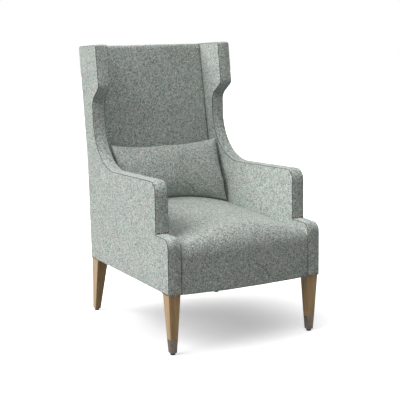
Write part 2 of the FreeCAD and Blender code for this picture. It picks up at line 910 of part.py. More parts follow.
# The outside back, its board and the straps that carry the inside back
keep(back_layer("outside_back_cover", "0", "cover", "base_bottom", TOP_DROP, "cover"))
keep(back_layer("outside_back_board", "cover", FRAME_FACE, FRAME_BOTTOM, TOP_DROP, FRAME_FACE))
strap_inset = f"{POST_INNER} - strap_landing"
strap_sheet = back_layer(
    "strap_sheet", POST_DEPTH, STRAP_DEPTH, "strap_bottom", TOP_DROP, strap_inset
)
doc.recompute()
straps = []
strap_steps = int(value(f"({LOW_TOP} - strap_height - strap_bottom) / strap_pitch"))
for number in range(strap_steps + 1):
    bottom = value(f"strap_bottom + {number} * strap_pitch")
    slot = Part.makeBox(
        value("2 * half_width"),
        value("2 * overall_depth"),
        value("strap_height"),
        Vector(value("-half_width"), value("-overall_depth"), bottom),
    )
    straps.append(strap_sheet.Shape.common(slot).Solids[0])
group("back_webbing", straps)

# The shares of the half width at which a cushion's sections stand
SHARES = (-1, -0.7, -0.35, 0, 0.35, 0.7, 1)


def cushion(label, section, inset):
    """A crowned pad between the two sides, through one section in each fan plane."""
    edge = 1 - value(inset) / value("half_width")
    sketches = []
    for number, share in enumerate(SHARES):
        plane = fan_plane(share)
        plane.Base = plane.Base * edge
        plane.Base.y = value("-overall_depth / 2")
        crown = 1 - share * share
        sketches.append(free_sketch(f"{label}_section_{number}", plane, section(crown)))
    solid = add("Part::Loft", label)
    solid.Sections = sketches
    solid.Solid = True
    return solid


def seat_section(lining):
    """What makes a seat section from its share of the crown, drawn in by a lining."""

    def corners(crown):
        front = f"{lining} - seat_bulge * {crown}"
        front_top = f"seat_front_height + seat_front_crown * {crown} - {lining}"
        rear_top = f"seat_rear_height + seat_rear_crown * {crown} - {lining}"
        roll = f"seat_edge_roll + (seat_middle_roll - seat_edge_roll) * {crown} - {lining}"
        rear = f"{back_face(rear_top, crown)} - soft_gap - {lining}"
        foot = f"{back_face('base_bottom', crown)} - soft_gap - {lining}"
        bottom = f"base_bottom + {lining}"
        if value(front) == 0:
            front = "0"
        return [(front, bottom), (front, front_top, roll), (rear, rear_top), (foot, bottom)]

    return corners


def back_section(lining):
    """What makes a section of the inside back, in the same way."""

    def corners(crown):
        rear = f"overall_depth - {lining}"
        top = top_line(f"overall_depth - ({POST_DEPTH})", lining)
        front_top = f"{back_face(top, crown)} + {lining}"
        front = f"{back_face('back_pad_bottom', crown)} + {lining}"
        foot = rear_line("back_pad_bottom", lining)
        return [
            (front, "back_pad_bottom"),
            (front_top, top, f"back_roll - {lining}"),
            (rear, top_line(rear, lining)),
            (foot, "back_pad_bottom"),
        ]

    return corners


seat_whole = cushion("seat_whole", seat_section("0"), ROOM)
seat_core = cushion("seat_core", seat_section("cover"), f"{ROOM} + cover")
seat_shell = cut("seat_shell", seat_whole, seat_core)
keep(cut("seat_cover", seat_shell, under_deck))
keep(cut("seat_foam", seat_core, under_deck))

back_whole = cushion("back_whole", back_section("0"), ROOM)
back_core = cushion("back_core", back_section("cover"), f"{ROOM} + cover")
back_shell = cut("back_shell", back_whole, back_core)
keep(cut("inside_back_cover", back_shell, behind_straps))
keep(cut("back_foam", back_core, behind_straps))

# The springs are zigzag wires from the front rail to the rear rail, hooked into clips
SPRING_FRONT = f"{FRAME_FRONT} + stock / 2"
SPRING_REAR = rear_line(RAIL_TOP, f"{FRAME_FACE} + back_post_depth / 2")
WIRE_HEIGHT = f"{RAIL_TOP} + clip_wall + clip_play + wire / 2"


def zigzag_wire(x):
    """One spring: bars across, joined at alternate ends by half turns."""
    bars = int(value("spring_bars"))
    step = value(f"({SPRING_REAR} - ({SPRING_FRONT}))") / (bars - 1)
    half_bar = value("spring_width") / 2 - step / 2
    level = value(WIRE_HEIGHT)
    start = value(SPRING_FRONT) - value("overall_depth / 2")
    edges = []
    for bar in range(bars):
        y = start + bar * step
        way = 1 if bar % 2 == 0 else -1
        near = Vector(x - way * half_bar, y, level)
        far = Vector(x + way * half_bar, y, level)
        edges.append(Part.makeLine(near, far))
        if bar < bars - 1:
            bulge = Vector(far.x + way * step / 2, y + step / 2, level)
            edges.append(Part.Arc(far, bulge, far + Vector(0, step, 0)).toShape())
    path = Part.Wire(edges)
    ring = Part.Wire(Part.makeCircle(value("wire / 2"), edges[0].Vertexes[0].Point, Vector(1, 0, 0)))
    return path.makePipeShell([ring], True, False)


def wire_clip(x, setback):
    """A steel clip, nailed to a rail, that holds the end bar of a spring."""
    inner = value("wire + 2 * clip_play")
    wall = value("clip_wall")
    depth = value("clip_depth")
    length = value("clip_length")
    corner = Vector(
        x - length / 2, value(f"({setback}) - overall_depth / 2") - depth / 2, value(RAIL_TOP)
    )
    block = Part.makeBox(length, depth, inner + 2 * wall, corner)
    slot = Part.makeBox(
        length, depth - wall, inner, corner + Vector(0, 0 if setback == SPRING_FRONT else wall, wall)
    )
    return block.cut(slot)


spring_count = int(value("spring_count"))
spring_places = [
    value("spring_pitch") * (number - (spring_count - 1) / 2) for number in range(spring_count)
]
group("seat_springs", [zigzag_wire(x) for x in spring_places])
group(
    "spring_clips",
    [wire_clip(x, end) for x in spring_places for end in (SPRING_FRONT, SPRING_REAR)],
)
clip_edge = "clip_depth / 2 + insulator_margin"
insulator_outline = rectangle(
    f"{SPRING_FRONT} + {clip_edge}",
    f"{SPRING_REAR} - ({clip_edge})",
    f"{WIRE_HEIGHT} + wire / 2",
    "deck_height",
)
keep(across("spring_insulator", insulator_outline, f"{ROOM} + cover"))

# The lumbar pillow is two panels sewn at a knife edge, and leans on the back
PILLOW_MIDDLE = "pillow_foot_height + pillow_height / 2"
PILLOW_FOOT = f"{back_face(PILLOW_MIDDLE, 1)} - pillow_reach"
PILLOW_HALF_WIDTH = half_room("side_thickness + pillow_side_room", PILLOW_FOOT)
pillow_place = Placement(
    Vector(0, value(f"{PILLOW_FOOT} - overall_depth / 2"), value("pillow_foot_height")),
    Rotation(Vector(1, 0, 0), value("-pillow_lean")),
)


def pillow_solid(label, lining):
    """A lens-shaped loft, whose seam dips between the corners."""
    sections = []
    for share in SHARES:
        crown = 1 - share * share
        foot = value("pillow_foot_rise") * crown + lining
        head = value("pillow_height") - value("pillow_top_dip") * crown - lining
        swell = math.sqrt(crown)
        seam = value("pillow_seam")
        front = seam + (value("pillow_front_swell") - seam) * swell - lining
        back = seam + (value("pillow_back_swell") - seam) * swell - lining
        x = share * (value(PILLOW_HALF_WIDTH) - lining)
        middle = (foot + head) / 2
        low, high = Vector(x, 0, foot), Vector(x, 0, head)
        panels = [
            Part.Arc(low, Vector(x, -front, middle), high).toShape(),
            Part.Arc(high, Vector(x, back, middle), low).toShape(),
        ]
        sections.append(Part.Wire(panels))
    lens = Part.makeLoft(sections, True, False)
    half, dip = value("pillow_height") / 2, value("pillow_side_dip")
    radius = (half * half + dip * dip) / (2 * dip)
    for way in (-1, 1):
        x = way * (value(PILLOW_HALF_WIDTH) - lining - dip + radius)
        reach = value("pillow_front_swell + pillow_back_swell")
        scoop = Part.makeCylinder(radius, 2 * reach, Vector(x, -reach, half), Vector(0, 1, 0))
        lens = lens.cut(scoop)
    thing = add("Part::Feature", label)
    thing.Shape = lens
    thing.Placement = pillow_place
    return thing


pillow_whole = pillow_solid("pillow_whole", 0)
pillow_filling = keep(pillow_solid("pillow_filling", value("pillow_cover")))
keep(cut("pillow_cover", pillow_whole, pillow_filling))

# The dust cover closes the underside between the legs
notch = "leg_gap + leg_top + dust_cover"
front_notch_x = half_room(notch, "front_leg_setback + leg_top")
rear_notch_x = half_room(notch, "rear_leg_setback + rear_leg_depth")
front_notch_y = "front_leg_setback + leg_top + dust_cover"
rear_notch_y = "rear_leg_setback - dust_cover"
dust_front = f"{FRAME_FRONT} + dust_cover"
dust_rear = f"back_foot_setback - ({FRAME_FACE}) - dust_cover"
dust_half = [
    (front_notch_x, dust_front),
    (front_notch_x, front_notch_y),
    (half_room(f"{FRAME_FACE} + dust_cover", front_notch_y), front_notch_y),
    (half_room(f"{FRAME_FACE} + dust_cover", rear_notch_y), rear_notch_y),
    (rear_notch_x, rear_notch_y),
    (rear_notch_x, dust_rear),
]
dust_corners = dust_half + [(f"-({x})", y) for x, y in reversed(dust_half)]
dust_body = new_body("dust_cover", plan_plane("0"))
dust_pad = dust_body.newObject("PartDesign::Pad", "dust_pad")
dust_pad.Profile = body_sketch(
    dust_body, "XY_Plane", dust_corners, f"{FRAME_BOTTOM} - dust_cover"
)
bind(dust_pad, Length="dust_cover")
keep(dust_body)


def staple(x, y, turn):
    """The crown of a staple, flat against the underside of the dust cover."""
    length, wire = value("staple_length"), value("staple_wire")
    crown = Part.makeBox(length, 2 * wire, wire, Vector(-length / 2, -wire, -wire))
    bottom = value(f"{FRAME_BOTTOM} - dust_cover")
    crown.Placement = Placement(Vector(x, y, bottom), Rotation(Vector(0, 0, 1), turn))
    return crown


staples = []
row_front = value(f"{SPRING_FRONT} - overall_depth / 2")
row_rear = value(f"{dust_rear} - stock / 2 - overall_depth / 2")
row_inset = f"{FRAME_FACE} + stock / 2"
staple_count = int(value("staple_count"))
for number in range(staple_count):
    share = (number + 1) / (staple_count + 1)
    along = value(f"{front_notch_y} + ({rear_notch_y} - ({front_notch_y})) * {share}")
    side = value(half_room(row_inset, str(along)))
    for way in (-1, 1):
        staples.append(staple(way * side, along - value("overall_depth / 2"), 90))
    reach = value(rear_notch_x) * (2 * share - 1)
    staples.append(staple(reach, row_front, 0))
    staples.append(staple(reach, row_rear, 0))
group("dust_cover_staples", staples)

# The domed nails stand in short rows over the legs and at the foot of each arm front
nail_radius, nail_rise = value("nail_diameter / 2"), value("nail_rise")
ball_radius = (nail_radius**2 + nail_rise**2) / (2 * nail_rise)
nail_ball = Part.makeSphere(ball_radius, Vector(0, 0, nail_rise - ball_radius))
nail_cap = Part.makeCylinder(nail_radius * 2, nail_rise * 2)
nail_head = nail_ball.common(nail_cap)


def nail_row(first, last, outward):
    """Nail heads spaced evenly from one point to another, on a face that looks outward."""
    count = int(value("nail_row"))
    turn = Rotation(Vector(0, 0, 1), outward)
    heads = []
    for number in range(count):
        head = nail_head.copy()
        head.Placement = Placement(first + (last - first) * (number / (count - 1)), turn)
        heads.append(head)
    return heads


row_half = value("nail_pitch * (nail_row - 1) / 2")
front = value("-overall_depth / 2")
level = value("base_bottom + nail_line")
across_row = Vector(row_half, 0, 0)
side_way = Vector(value("side_slope"), 1, 0).normalize()
side_out = Vector(-side_way.y, side_way.x, 0)


def side_point(setback):
    """A point of the left side's outer face, at the height of the nail rows."""
    return Vector(-value(half_room("0", setback)), front + value(setback), level)


front_centre = Vector(value(FRONT_LEG_X), front, level)
arm_centre = Vector(
    -value(half_room("side_thickness / 2", "arm_setback")),
    front + value("arm_setback"),
    value("step_height + step_rise + nail_line"),
)
front_side = side_point(FRONT_LEG_Y)
rear_side = side_point("rear_leg_setback + rear_leg_depth / 2")
along_side = side_way * row_half
leg_nails = nail_row(front_centre - across_row, front_centre + across_row, Vector(0, -1, 0))
for centre in (front_side, rear_side):
    leg_nails += nail_row(centre - along_side, centre + along_side, side_out)
arm_nails = nail_row(arm_centre - across_row, arm_centre + across_row, Vector(0, -1, 0))
group("leg_nail_heads", leg_nails + [mirrored(head) for head in leg_nails])
group("arm_nail_heads", arm_nails + [mirrored(head) for head in arm_nails])

doc.recompute()
faults = [
    thing.Label
    for thing in doc.Objects
    if any(word in thing.State for word in ("Invalid", "Error"))
]
for thing in pieces:
    shape = thing.Shape
    if shape.isNull() or not shape.isValid() or not shape.Solids:
        faults.append(thing.Label)
if faults:
    raise RuntimeError(f"these objects failed: {sorted(set(faults))}")
os.makedirs("parts", exist_ok=True)
for thing in pieces:
    thing.Shape.exportStep(f"parts/{thing.Label}.step")
print(len(pieces), "pieces")
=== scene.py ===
import math

import bmesh
import bpy
import numpy as np
from mathutils import Matrix, Vector, noise


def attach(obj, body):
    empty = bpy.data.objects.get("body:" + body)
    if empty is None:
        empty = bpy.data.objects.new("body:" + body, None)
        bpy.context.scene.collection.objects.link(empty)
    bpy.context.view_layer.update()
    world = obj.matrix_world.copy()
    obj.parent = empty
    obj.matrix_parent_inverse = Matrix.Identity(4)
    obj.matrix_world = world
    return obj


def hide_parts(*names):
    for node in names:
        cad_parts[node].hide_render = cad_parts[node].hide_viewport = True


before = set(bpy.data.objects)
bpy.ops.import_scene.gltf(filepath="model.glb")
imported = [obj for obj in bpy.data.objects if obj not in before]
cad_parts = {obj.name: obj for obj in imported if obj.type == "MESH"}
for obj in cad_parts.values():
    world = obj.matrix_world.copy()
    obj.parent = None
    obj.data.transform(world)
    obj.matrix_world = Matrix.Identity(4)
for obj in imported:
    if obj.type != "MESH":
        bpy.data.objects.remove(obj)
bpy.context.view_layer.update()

# The tweed
# A heathered wool weave of thick, soft yarns, warp and weft alike. Each yarn runs through dark
# teal, grey-green and cream, with a little faded rose, so the cloth is speckled all over.
YARN_PITCH, YARN_WANDER, HEATHER_RUN = 0.0021, 0.0034, 0.0048
WANDERS, FIBRES, DRIFTS = 330.0, 1400.0, 9.0
STITCH_PITCH = 0.0085
# How dark and how light each makes the wool: painted shade in the gaps between yarns, the
# fibres, a slow drift over the cloth, and painted shade down in a seam
YARN_GAP_PAINTED_SHADE, FIBRE, DRIFT, SEAM_PAINTED_SHADE = (0.50, 1.12), (0.82, 1.18), (0.93, 1.07), (1.0, 0.22)
TWEED_SHADES = [
    (0.00, (0.085, 0.118, 0.112)),
    (0.15, (0.175, 0.208, 0.192)),
    (0.34, (0.325, 0.352, 0.326)),
    (0.62, (0.455, 0.478, 0.444)),
    (0.84, (0.620, 0.632, 0.592)),
    (1.00, (0.860, 0.862, 0.816)),
]
TWEED_TINTS = [
    (0.00, (0.74, 1.06, 1.09)),
    (0.30, (0.93, 1.02, 1.02)),
    (0.70, (1.04, 1.00, 0.98)),
    (1.00, (1.21, 0.965, 0.91)),
]


def add_node(tree, kind, inputs=None, **settings):
    """One node, with its settings and the values or links of its inputs."""
    made = tree.nodes.new(kind)
    for name, setting in settings.items():
        setattr(made, name, setting)
    for name, source in (inputs or {}).items():
        if isinstance(source, bpy.types.NodeSocket):
            tree.links.new(source, made.inputs[name])
        else:
            made.inputs[name].default_value = source
    return made


def reckon(tree, operation, *terms):
    """The result of one sum on numbers or sockets."""
    made = add_node(tree, "ShaderNodeMath", dict(enumerate(terms)), operation=operation)
    return made.outputs[0]


def blend_numbers(tree, share, low, high):
    """A number between two others."""
    made = add_node(tree, "ShaderNodeMix", {0: share, 2: low, 3: high})
    return made.outputs[0]


def blend_colours(tree, share, low, high, mode="MIX"):
    """A colour between two others."""
    made = add_node(
        tree, "ShaderNodeMix", {0: share, 6: low, 7: high}, data_type="RGBA", blend_type=mode
    )
    return made.outputs[2]


def shade_ramp(tree, share, shades, interpolation="LINEAR"):
    """A colour read from a row of shades."""
    made = add_node(tree, "ShaderNodeValToRGB", {0: share})
    ramp = made.color_ramp
    ramp.interpolation = interpolation
    while len(ramp.elements) > 1:
        ramp.elements.remove(ramp.elements[-1])
    for number, (place, colour) in enumerate(shades):
        element = ramp.elements[0] if number == 0 else ramp.elements.new(place)
        element.position = place
        element.color = (*colour, 1)
    return made.outputs[0]


def node_group(name, inputs, outputs):
    """An empty shader group with named sockets, and its two end nodes."""
    group = bpy.data.node_groups.new(name, "ShaderNodeTree")
    for way, sockets in (("INPUT", inputs), ("OUTPUT", outputs)):
        for label, kind, *value in sockets:
            socket = group.interface.new_socket(
                name=label, in_out=way, socket_type=f"NodeSocket{kind}"
            )
            if value:
                socket.default_value = value[0]
    return group, group.nodes.new("NodeGroupInput"), group.nodes.new("NodeGroupOutput")


def use_group(tree, group, inputs):
    """A group placed in a material."""
    return add_node(tree, "ShaderNodeGroup", inputs, node_tree=group)


# The weave: which yarn lies on top at each crossing, and how high it stands
weave, ends, results = node_group(
    "yarn_weave",
    [("Vector", "Vector"), ("Pitch", "Float", YARN_PITCH)],
    [("Height", "Float"), ("Weft on top", "Float")],
)
threads = add_node(
    weave, "ShaderNodeVectorMath", {0: ends.outputs["Vector"]}, operation="SCALE"
)
weave.links.new(reckon(weave, "DIVIDE", 1.0, ends.outputs["Pitch"]), threads.inputs["Scale"])
across_along = add_node(weave, "ShaderNodeSeparateXYZ", {0: threads.outputs[0]})
round_x, round_y = (
    reckon(
        weave,
        "POWER",
        reckon(weave, "ABSOLUTE", reckon(weave, "SINE", reckon(weave, "MULTIPLY", axis, math.pi))),
        0.6,
    )
    for axis in across_along.outputs[:2]
)
crossing = reckon(
    weave,
    "ADD",
    reckon(weave, "FLOOR", across_along.outputs[0]),
    reckon(weave, "FLOOR", across_along.outputs[1]),
)
parity = reckon(weave, "FLOORED_MODULO", crossing, 2.0)
warp_height = reckon(weave, "MULTIPLY", round_x, blend_numbers(weave, round_y, 0.55, 1.0))
weft_height = reckon(weave, "MULTIPLY", round_y, blend_numbers(weave, round_x, 0.55, 1.0))
weave.links.new(blend_numbers(weave, parity, warp_height, weft_height), results.inputs["Height"])
weave.links.new(parity, results.inputs["Weft on top"])

# The heather: each yarn changes its shade and its tint in short runs along its length
heather, ends, results = node_group(
    "heather_flecks",
    [("Vector", "Vector"), ("Weft on top", "Float"), ("Pitch", "Float"), ("Run", "Float")],
    [("Shade", "Float"), ("Tint", "Float")],
)
place = add_node(heather, "ShaderNodeSeparateXYZ", {0: ends.outputs["Vector"]})
channels = []
for across, along in ((0, 1), (1, 0)):
    yarn = reckon(heather, "DIVIDE", place.outputs[across], ends.outputs["Pitch"])
    run = reckon(heather, "DIVIDE", place.outputs[along], ends.outputs["Run"])
    drawn_out = add_node(heather, "ShaderNodeCombineXYZ", {0: yarn, 1: run})
    fleck = add_node(
        heather,
        "ShaderNodeTexVoronoi",
        {"Vector": drawn_out.outputs[0], "Scale": 1.0, "Smoothness": 0.18},
        voronoi_dimensions="2D",
        feature="SMOOTH_F1",
    )
    channels.append(add_node(heather, "ShaderNodeSeparateColor", {0: fleck.outputs["Color"]}))
for number, label in enumerate(("Shade", "Tint")):
    chosen = blend_numbers(
        heather,
        ends.outputs["Weft on top"],
        channels[0].outputs[number],
        channels[1].outputs[number],
    )
    heather.links.new(chosen, results.inputs[label])


def new_material(name):
    """An empty material, its node tree and its shader."""
    material = bpy.data.materials.new(name)
    material.use_nodes = True
    return material, material.node_tree, material.node_tree.nodes["Principled BSDF"]


tweed, tree, shader = new_material("tweed")
cut_cloth = add_node(tree, "ShaderNodeUVMap", uv_map="cut")
wander = add_node(
    tree, "ShaderNodeTexNoise", {"Vector": cut_cloth.outputs[0], "Scale": WANDERS, "Detail": 2.0}
)
spun = add_node(
    tree,
    "ShaderNodeVectorMath",
    {0: wander.outputs["Color"], 1: (YARN_WANDER,) * 3, 2: cut_cloth.outputs[0]},
    operation="MULTIPLY_ADD",
)
yarns = use_group(tree, weave, {"Vector": spun.outputs[0]})
shade = use_group(
    tree,
    heather,
    {
        "Vector": spun.outputs[0],
        "Weft on top": yarns.outputs["Weft on top"],
        "Pitch": YARN_PITCH,
        "Run": HEATHER_RUN,
    },
)
fibres = add_node(
    tree, "ShaderNodeTexNoise", {"Vector": cut_cloth.outputs[0], "Scale": FIBRES, "Detail": 2.0}
)
drift = add_node(
    tree, "ShaderNodeTexNoise", {"Vector": cut_cloth.outputs[0], "Scale": DRIFTS, "Detail": 3.0}
)
wool = blend_colours(
    tree,
    1.0,
    shade_ramp(tree, shade.outputs["Shade"], TWEED_SHADES),
    shade_ramp(tree, shade.outputs["Tint"], TWEED_TINTS),
    "MULTIPLY",
)
# Painted shade: the wool is darkened in the gaps between yarns and, below, down in the seams
yarn_gap_painted_shade = blend_numbers(tree, yarns.outputs["Height"], *YARN_GAP_PAINTED_SHADE)
tone_and_painted_shade = reckon(tree, "MULTIPLY", yarn_gap_painted_shade, blend_numbers(tree, fibres.outputs[0], *FIBRE))
tone_and_painted_shade = reckon(tree, "MULTIPLY", tone_and_painted_shade, blend_numbers(tree, drift.outputs[0], *DRIFT))
# Painted shade: the seam attribute darkens the wool down in seams and at tucked edges
seam = add_node(tree, "ShaderNodeAttribute", attribute_name="seam")
seam_painted_shade = blend_numbers(tree, seam.outputs["Fac"], *SEAM_PAINTED_SHADE)
tone_and_painted_shade = reckon(tree, "MULTIPLY", tone_and_painted_shade, seam_painted_shade)
grey = add_node(tree, "ShaderNodeCombineColor", {0: tone_and_painted_shade, 1: tone_and_painted_shade, 2: tone_and_painted_shade})
cloth_colour = blend_colours(tree, 1.0, wool, grey.outputs[0], "MULTIPLY")
tree.links.new(cloth_colour, shader.inputs["Base Color"])
along = add_node(tree, "ShaderNodeAttribute", attribute_name="along")
stitches = reckon(
    tree, "SINE", reckon(tree, "MULTIPLY", along.outputs["Fac"], 2 * math.pi / STITCH_PITCH)
)
puckers = reckon(tree, "MULTIPLY", stitches, reckon(tree, "MULTIPLY", seam.outputs["Fac"], 0.9))
relief = reckon(tree, "ADD", yarns.outputs["Height"], puckers)
relief = reckon(tree, "ADD", relief, reckon(tree, "MULTIPLY", fibres.outputs[0], 0.5))
bump = add_node(
    tree, "ShaderNodeBump", {"Height": relief, "Strength": 0.26, "Distance": 0.00045}
)
tree.links.new(bump.outputs[0], shader.inputs["Normal"])
tree.links.new(blend_numbers(tree, fibres.outputs[0], 0.86, 0.98), shader.inputs["Roughness"])
shader.inputs["Sheen Weight"].default_value = 0.12
shader.inputs["Sheen Roughness"].default_value = 0.6
shader.inputs["Specular IOR Level"].default_value = 0.25

# The sides
# Each side is a padded wooden frame in three cloths: an outside panel, an inside panel, and a
# boxing strip between them that runs up the front, over the step, arm and wing, to the back.
HALF_WIDTH, SIDE_SLOPE, DEPTH = 0.329, 0.03, 0.837
THICKNESS = 0.0555
BASE, ARM_TOP, ARM_BACK = 0.228, 0.633, 0.619
LIP, SEAM_GAP, LIP_FALL, SEAM_DEPTH = 0.0016, 0.0030, 0.0003, 0.0066
PANEL_EDGE, PANEL_FIELD, PANEL_UNEVEN = 0.0092, 0.028, 0.0007
OUTSIDE_SWELL, INSIDE_SWELL, BOXING_SWELL = 0.0012, 0.0032, 0.0007
HEM, EDGE_ROUND, SEAM_SHADE = 0.0055, 0.0022, (0.0006, 0.0017)
CLOTH = 0.0012
FRONT_RUN = [
    (0.0, 0.434, 0.035),
    (0.102, 0.438),
    (0.102, ARM_TOP, 0.042),
    (0.697, ARM_BACK, 0.200),
    (0.697, 0.893, 0.045),
    (0.626, 0.945, 0.025),
    (0.649, 1.118, 0.010),
]
REAR_TOP, KNEE, REAR_FOOT = (DEPTH, 1.1095, 0.010), (0.776, 0.649, 2.2), (0.762, BASE)
BOXING_END = (DEPTH - 0.0018, 1.0955)
INSIDE_BACK_LINE, INSIDE_FOOT = 0.028, 0.350


def round_corners(corners, closed=True, arc_step=0.0035, run_step=0.014):
    """Points along an outline through corners of (along, up, radius)."""
    count = len(corners)
    at = [np.array(corner[:2], float) for corner in corners]
    bends = []
    for i, corner in enumerate(corners):
        if len(corner) < 3 or (not closed and i in (0, count - 1)):
            bends.append([at[i]])
            continue
        radius = corner[2]
        back = at[i - 1] - at[i]
        ahead = at[(i + 1) % count] - at[i]
        back /= np.linalg.norm(back)
        ahead /= np.linalg.norm(ahead)
        half = math.acos(float(np.clip(back @ ahead, -1, 1))) / 2
        middle = back + ahead
        centre = at[i] + middle / np.linalg.norm(middle) * radius / math.sin(half)
        spokes = [at[i] + way * radius / math.tan(half) - centre for way in (back, ahead)]
        first, last = (math.atan2(spoke[1], spoke[0]) for spoke in spokes)
        turn = (last - first + math.pi) % (2 * math.pi) - math.pi
        parts = max(3, math.ceil(abs(turn) * radius / arc_step), math.ceil(abs(turn) / 0.2))
        parts = min(parts, math.ceil(abs(turn) / 0.02) + 6)
        angles = first + turn * np.arange(parts + 1) / parts
        bends.append(list(centre + radius * np.c_[np.cos(angles), np.sin(angles)]))
    points = []
    for i, bend in enumerate(bends):
        points += bend
        if i == count - 1 and not closed:
            break
        ahead = bends[(i + 1) % count][0]
        parts = max(1, math.ceil(np.linalg.norm(ahead - bend[-1]) / run_step))
        points += [bend[-1] + (ahead - bend[-1]) * part / parts for part in range(1, parts)]
    return np.array(points)


def outward(points, closed=True):
    """The outward normal at each point of a clockwise outline, lengthened at the corners."""
    if closed:
        before, after = points - np.roll(points, 1, 0), np.roll(points, -1, 0) - points
    else:
        steps = np.diff(points, axis=0)
        before, after = np.vstack([steps[:1], steps]), np.vstack([steps, steps[-1:]])
    sides = []
    for step in (before, after):
        step = step / np.linalg.norm(step, axis=1)[:, None]
        sides.append(np.c_[-step[:, 1], step[:, 0]])
    middle = sides[0] + sides[1]
    middle /= np.linalg.norm(middle, axis=1)[:, None]
    return middle / (middle * sides[0]).sum(1)[:, None]


def lip_section():
    """How an edge of cloth turns into its seam: (in from the edge, under the face), by length."""
    centre = (SEAM_GAP + LIP, LIP + LIP_FALL)
    section = [(0.032, 0.0), (0.022, 0.0), (0.014, 0.10 * LIP_FALL), (0.009, 0.45 * LIP_FALL)]
    section.append((centre[0] + 0.0012, 0.93 * LIP_FALL))
    for degrees in (90, 112, 134, 156, 176):
        angle = math.radians(degrees)
        point = (centre[0] + LIP * math.cos(angle), centre[1] - LIP * math.sin(angle))
        section.append(point)
    section.append((SEAM_GAP + 0.0006, centre[1] + 0.0012))
    section.append((SEAM_DEPTH, SEAM_DEPTH + 0.0006))
    return section


def smooth_step(low, high, place):
    """0 before low, 1 after high, and an even rise between."""
    share = min(1.0, max(0.0, (place - low) / (high - low)))
    return share * share * (3 - 2 * share)


# Its value also darkens the wool there, as a painted shade in the seam
def in_seam(depth):
    """How far a point lies down in a seam, from 0 on the face to 1."""
    return smooth_step(*SEAM_SHADE, depth)


def make_cloth(name, points, faces, cuts, seams, alongs, facing):
    """A cloth piece from its points and faces, with its cut coordinates in metres."""
    mesh = bpy.data.meshes.new(name)
    mesh.from_pydata([tuple(point) for point in points], [], faces)
    # The seam value darkens the wool, a painted shade, and raises the stitch puckers
    for label, numbers in (("seam", seams), ("along", alongs)):
        layer = mesh.attributes.new(label, "FLOAT", "POINT")
        layer.data.foreach_set("value", np.asarray(numbers, np.float32))
    corners = np.zeros(len(mesh.loops), np.int32)
    mesh.loops.foreach_get("vertex_index", corners)
    cut = mesh.uv_layers.new(name="cut")
    cut.data.foreach_set("uv", np.asarray(cuts, np.float32)[corners].ravel())
    faced = sum((face.normal * face.area for face in mesh.polygons), Vector())
    if facing and faced.dot(Vector(facing)) < 0:
        mesh.flip_normals()
    piece = bpy.data.objects.new(name, mesh)
    bpy.context.scene.collection.objects.link(piece)
    mesh.polygons.foreach_set("use_smooth", [True] * len(mesh.polygons))
    mesh.materials.append(tweed)
    return piece


def apply_all(piece):
    """Apply a piece's modifiers."""
    bpy.ops.object.select_all(action="DESELECT")
    bpy.context.view_layer.objects.active = piece
    piece.select_set(True)
    for modifier in list(piece.modifiers):
        bpy.ops.object.modifier_apply(modifier=modifier.name)


def line_cloth(piece, thickness=CLOTH):
    """Give the cloth its thickness, inwards."""
    lining = piece.modifiers.new("lining", "SOLIDIFY")
    lining.thickness = thickness
    lining.offset = -1
    lining.use_even_offset = False
    apply_all(piece)


def side_place(side, setback, height, inset):
    """A point of a side: behind the base front, above the floor and in from its outer face."""
    along_x = side * (HALF_WIDTH - inset - SIDE_SLOPE * setback)
    return np.stack([along_x, setback - DEPTH / 2, height + 0 * setback], -1)


def wave(u, v, size, seed):
    """A soft unevenness between -1 and 1."""
    return noise.noise(Vector((u / size, v / size, seed)))


def side_panel(name, side, corners, face_inset, swell, seed, facing):
    """A flat panel of a side: a seam lip all round, and a slightly uneven face."""
    outline = round_corners(corners)
    normals = outward(outline)
    way = 1 if face_inset == 0 else -1
    lengths = np.r_[0, np.cumsum(np.linalg.norm(np.diff(outline, axis=0), axis=1))]
    section = lip_section()
    section = [(min(u, PANEL_EDGE), w) for u, w in section[3:]]
    run = np.r_[0, np.cumsum([math.dist(a, b) for a, b in zip(section, section[1:])])]
    points, cuts, seams, alongs = [], [], [], []
    flat = outline - normals * section[0][0]
    face = bmesh.new()
    rings = []
    for level, ((u, w), travelled) in enumerate(zip(section, run)):
        ring = outline - normals * u
        rings.append([face.verts.new((*point, -level)) for point in ring])
        points.append(side_place(side, ring[:, 0], ring[:, 1], face_inset + way * w))
        cuts.append(flat + normals * travelled)
        seams.append(np.full(len(ring), in_seam(w)))
        alongs.append(lengths)
    for one, other in zip(rings, rings[1:]):
        for i in range(len(one)):
            face.faces.new((one[i - 1], one[i], other[i], other[i - 1]))
    face.faces.new(rings[0][::-1])
    # The face is divided into small fields, so that it can be a little uneven
    for axis in (0, 1):
        low, high = flat[:, axis].min(), flat[:, axis].max()
        parts = math.ceil((high - low) / PANEL_FIELD)
        for part in range(1, parts):
            place, normal = [0, 0, 0], [0, 0, 0]
            place[axis], normal[axis] = low + (high - low) * part / parts, 1
            fields = [field for field in face.faces if all(v.co.z > -0.5 for v in field.verts)]
            lines = {line for field in fields for line in field.edges}
            spots = {spot for field in fields for spot in field.verts}
            bmesh.ops.bisect_plane(
                face, geom=[*fields, *lines, *spots], plane_co=place, plane_no=normal
            )
    face.verts.index_update()
    known = len(rings) * len(outline)
    spots = np.array([vert.co[:2] for vert in face.verts])[known:]
    gaps = np.array([np.min(np.hypot(*(outline - spot).T)) for spot in spots])
    fade = np.clip((gaps - 0.0095) / 0.02, 0, 1)
    rises = swell * (1 - np.exp(-np.clip(gaps - 0.0095, 0, None) / 0.045))
    rises += PANEL_UNEVEN * fade * [wave(spot[0], spot[1], 0.09, seed) for spot in spots]
    points.append(
        side_place(side, spots[:, 0], spots[:, 1], face_inset + way * (section[0][1] - rises))
    )
    cuts.append(spots)
    seams.append(np.zeros(len(spots)))
    alongs.append(np.zeros(len(spots)))
    faces = [tuple(vert.index for vert in field.verts) for field in face.faces]
    face.free()
    return make_cloth(
        name, np.vstack(points), faces, np.vstack(cuts),
        np.concatenate(seams), np.concatenate(alongs), facing,
    )


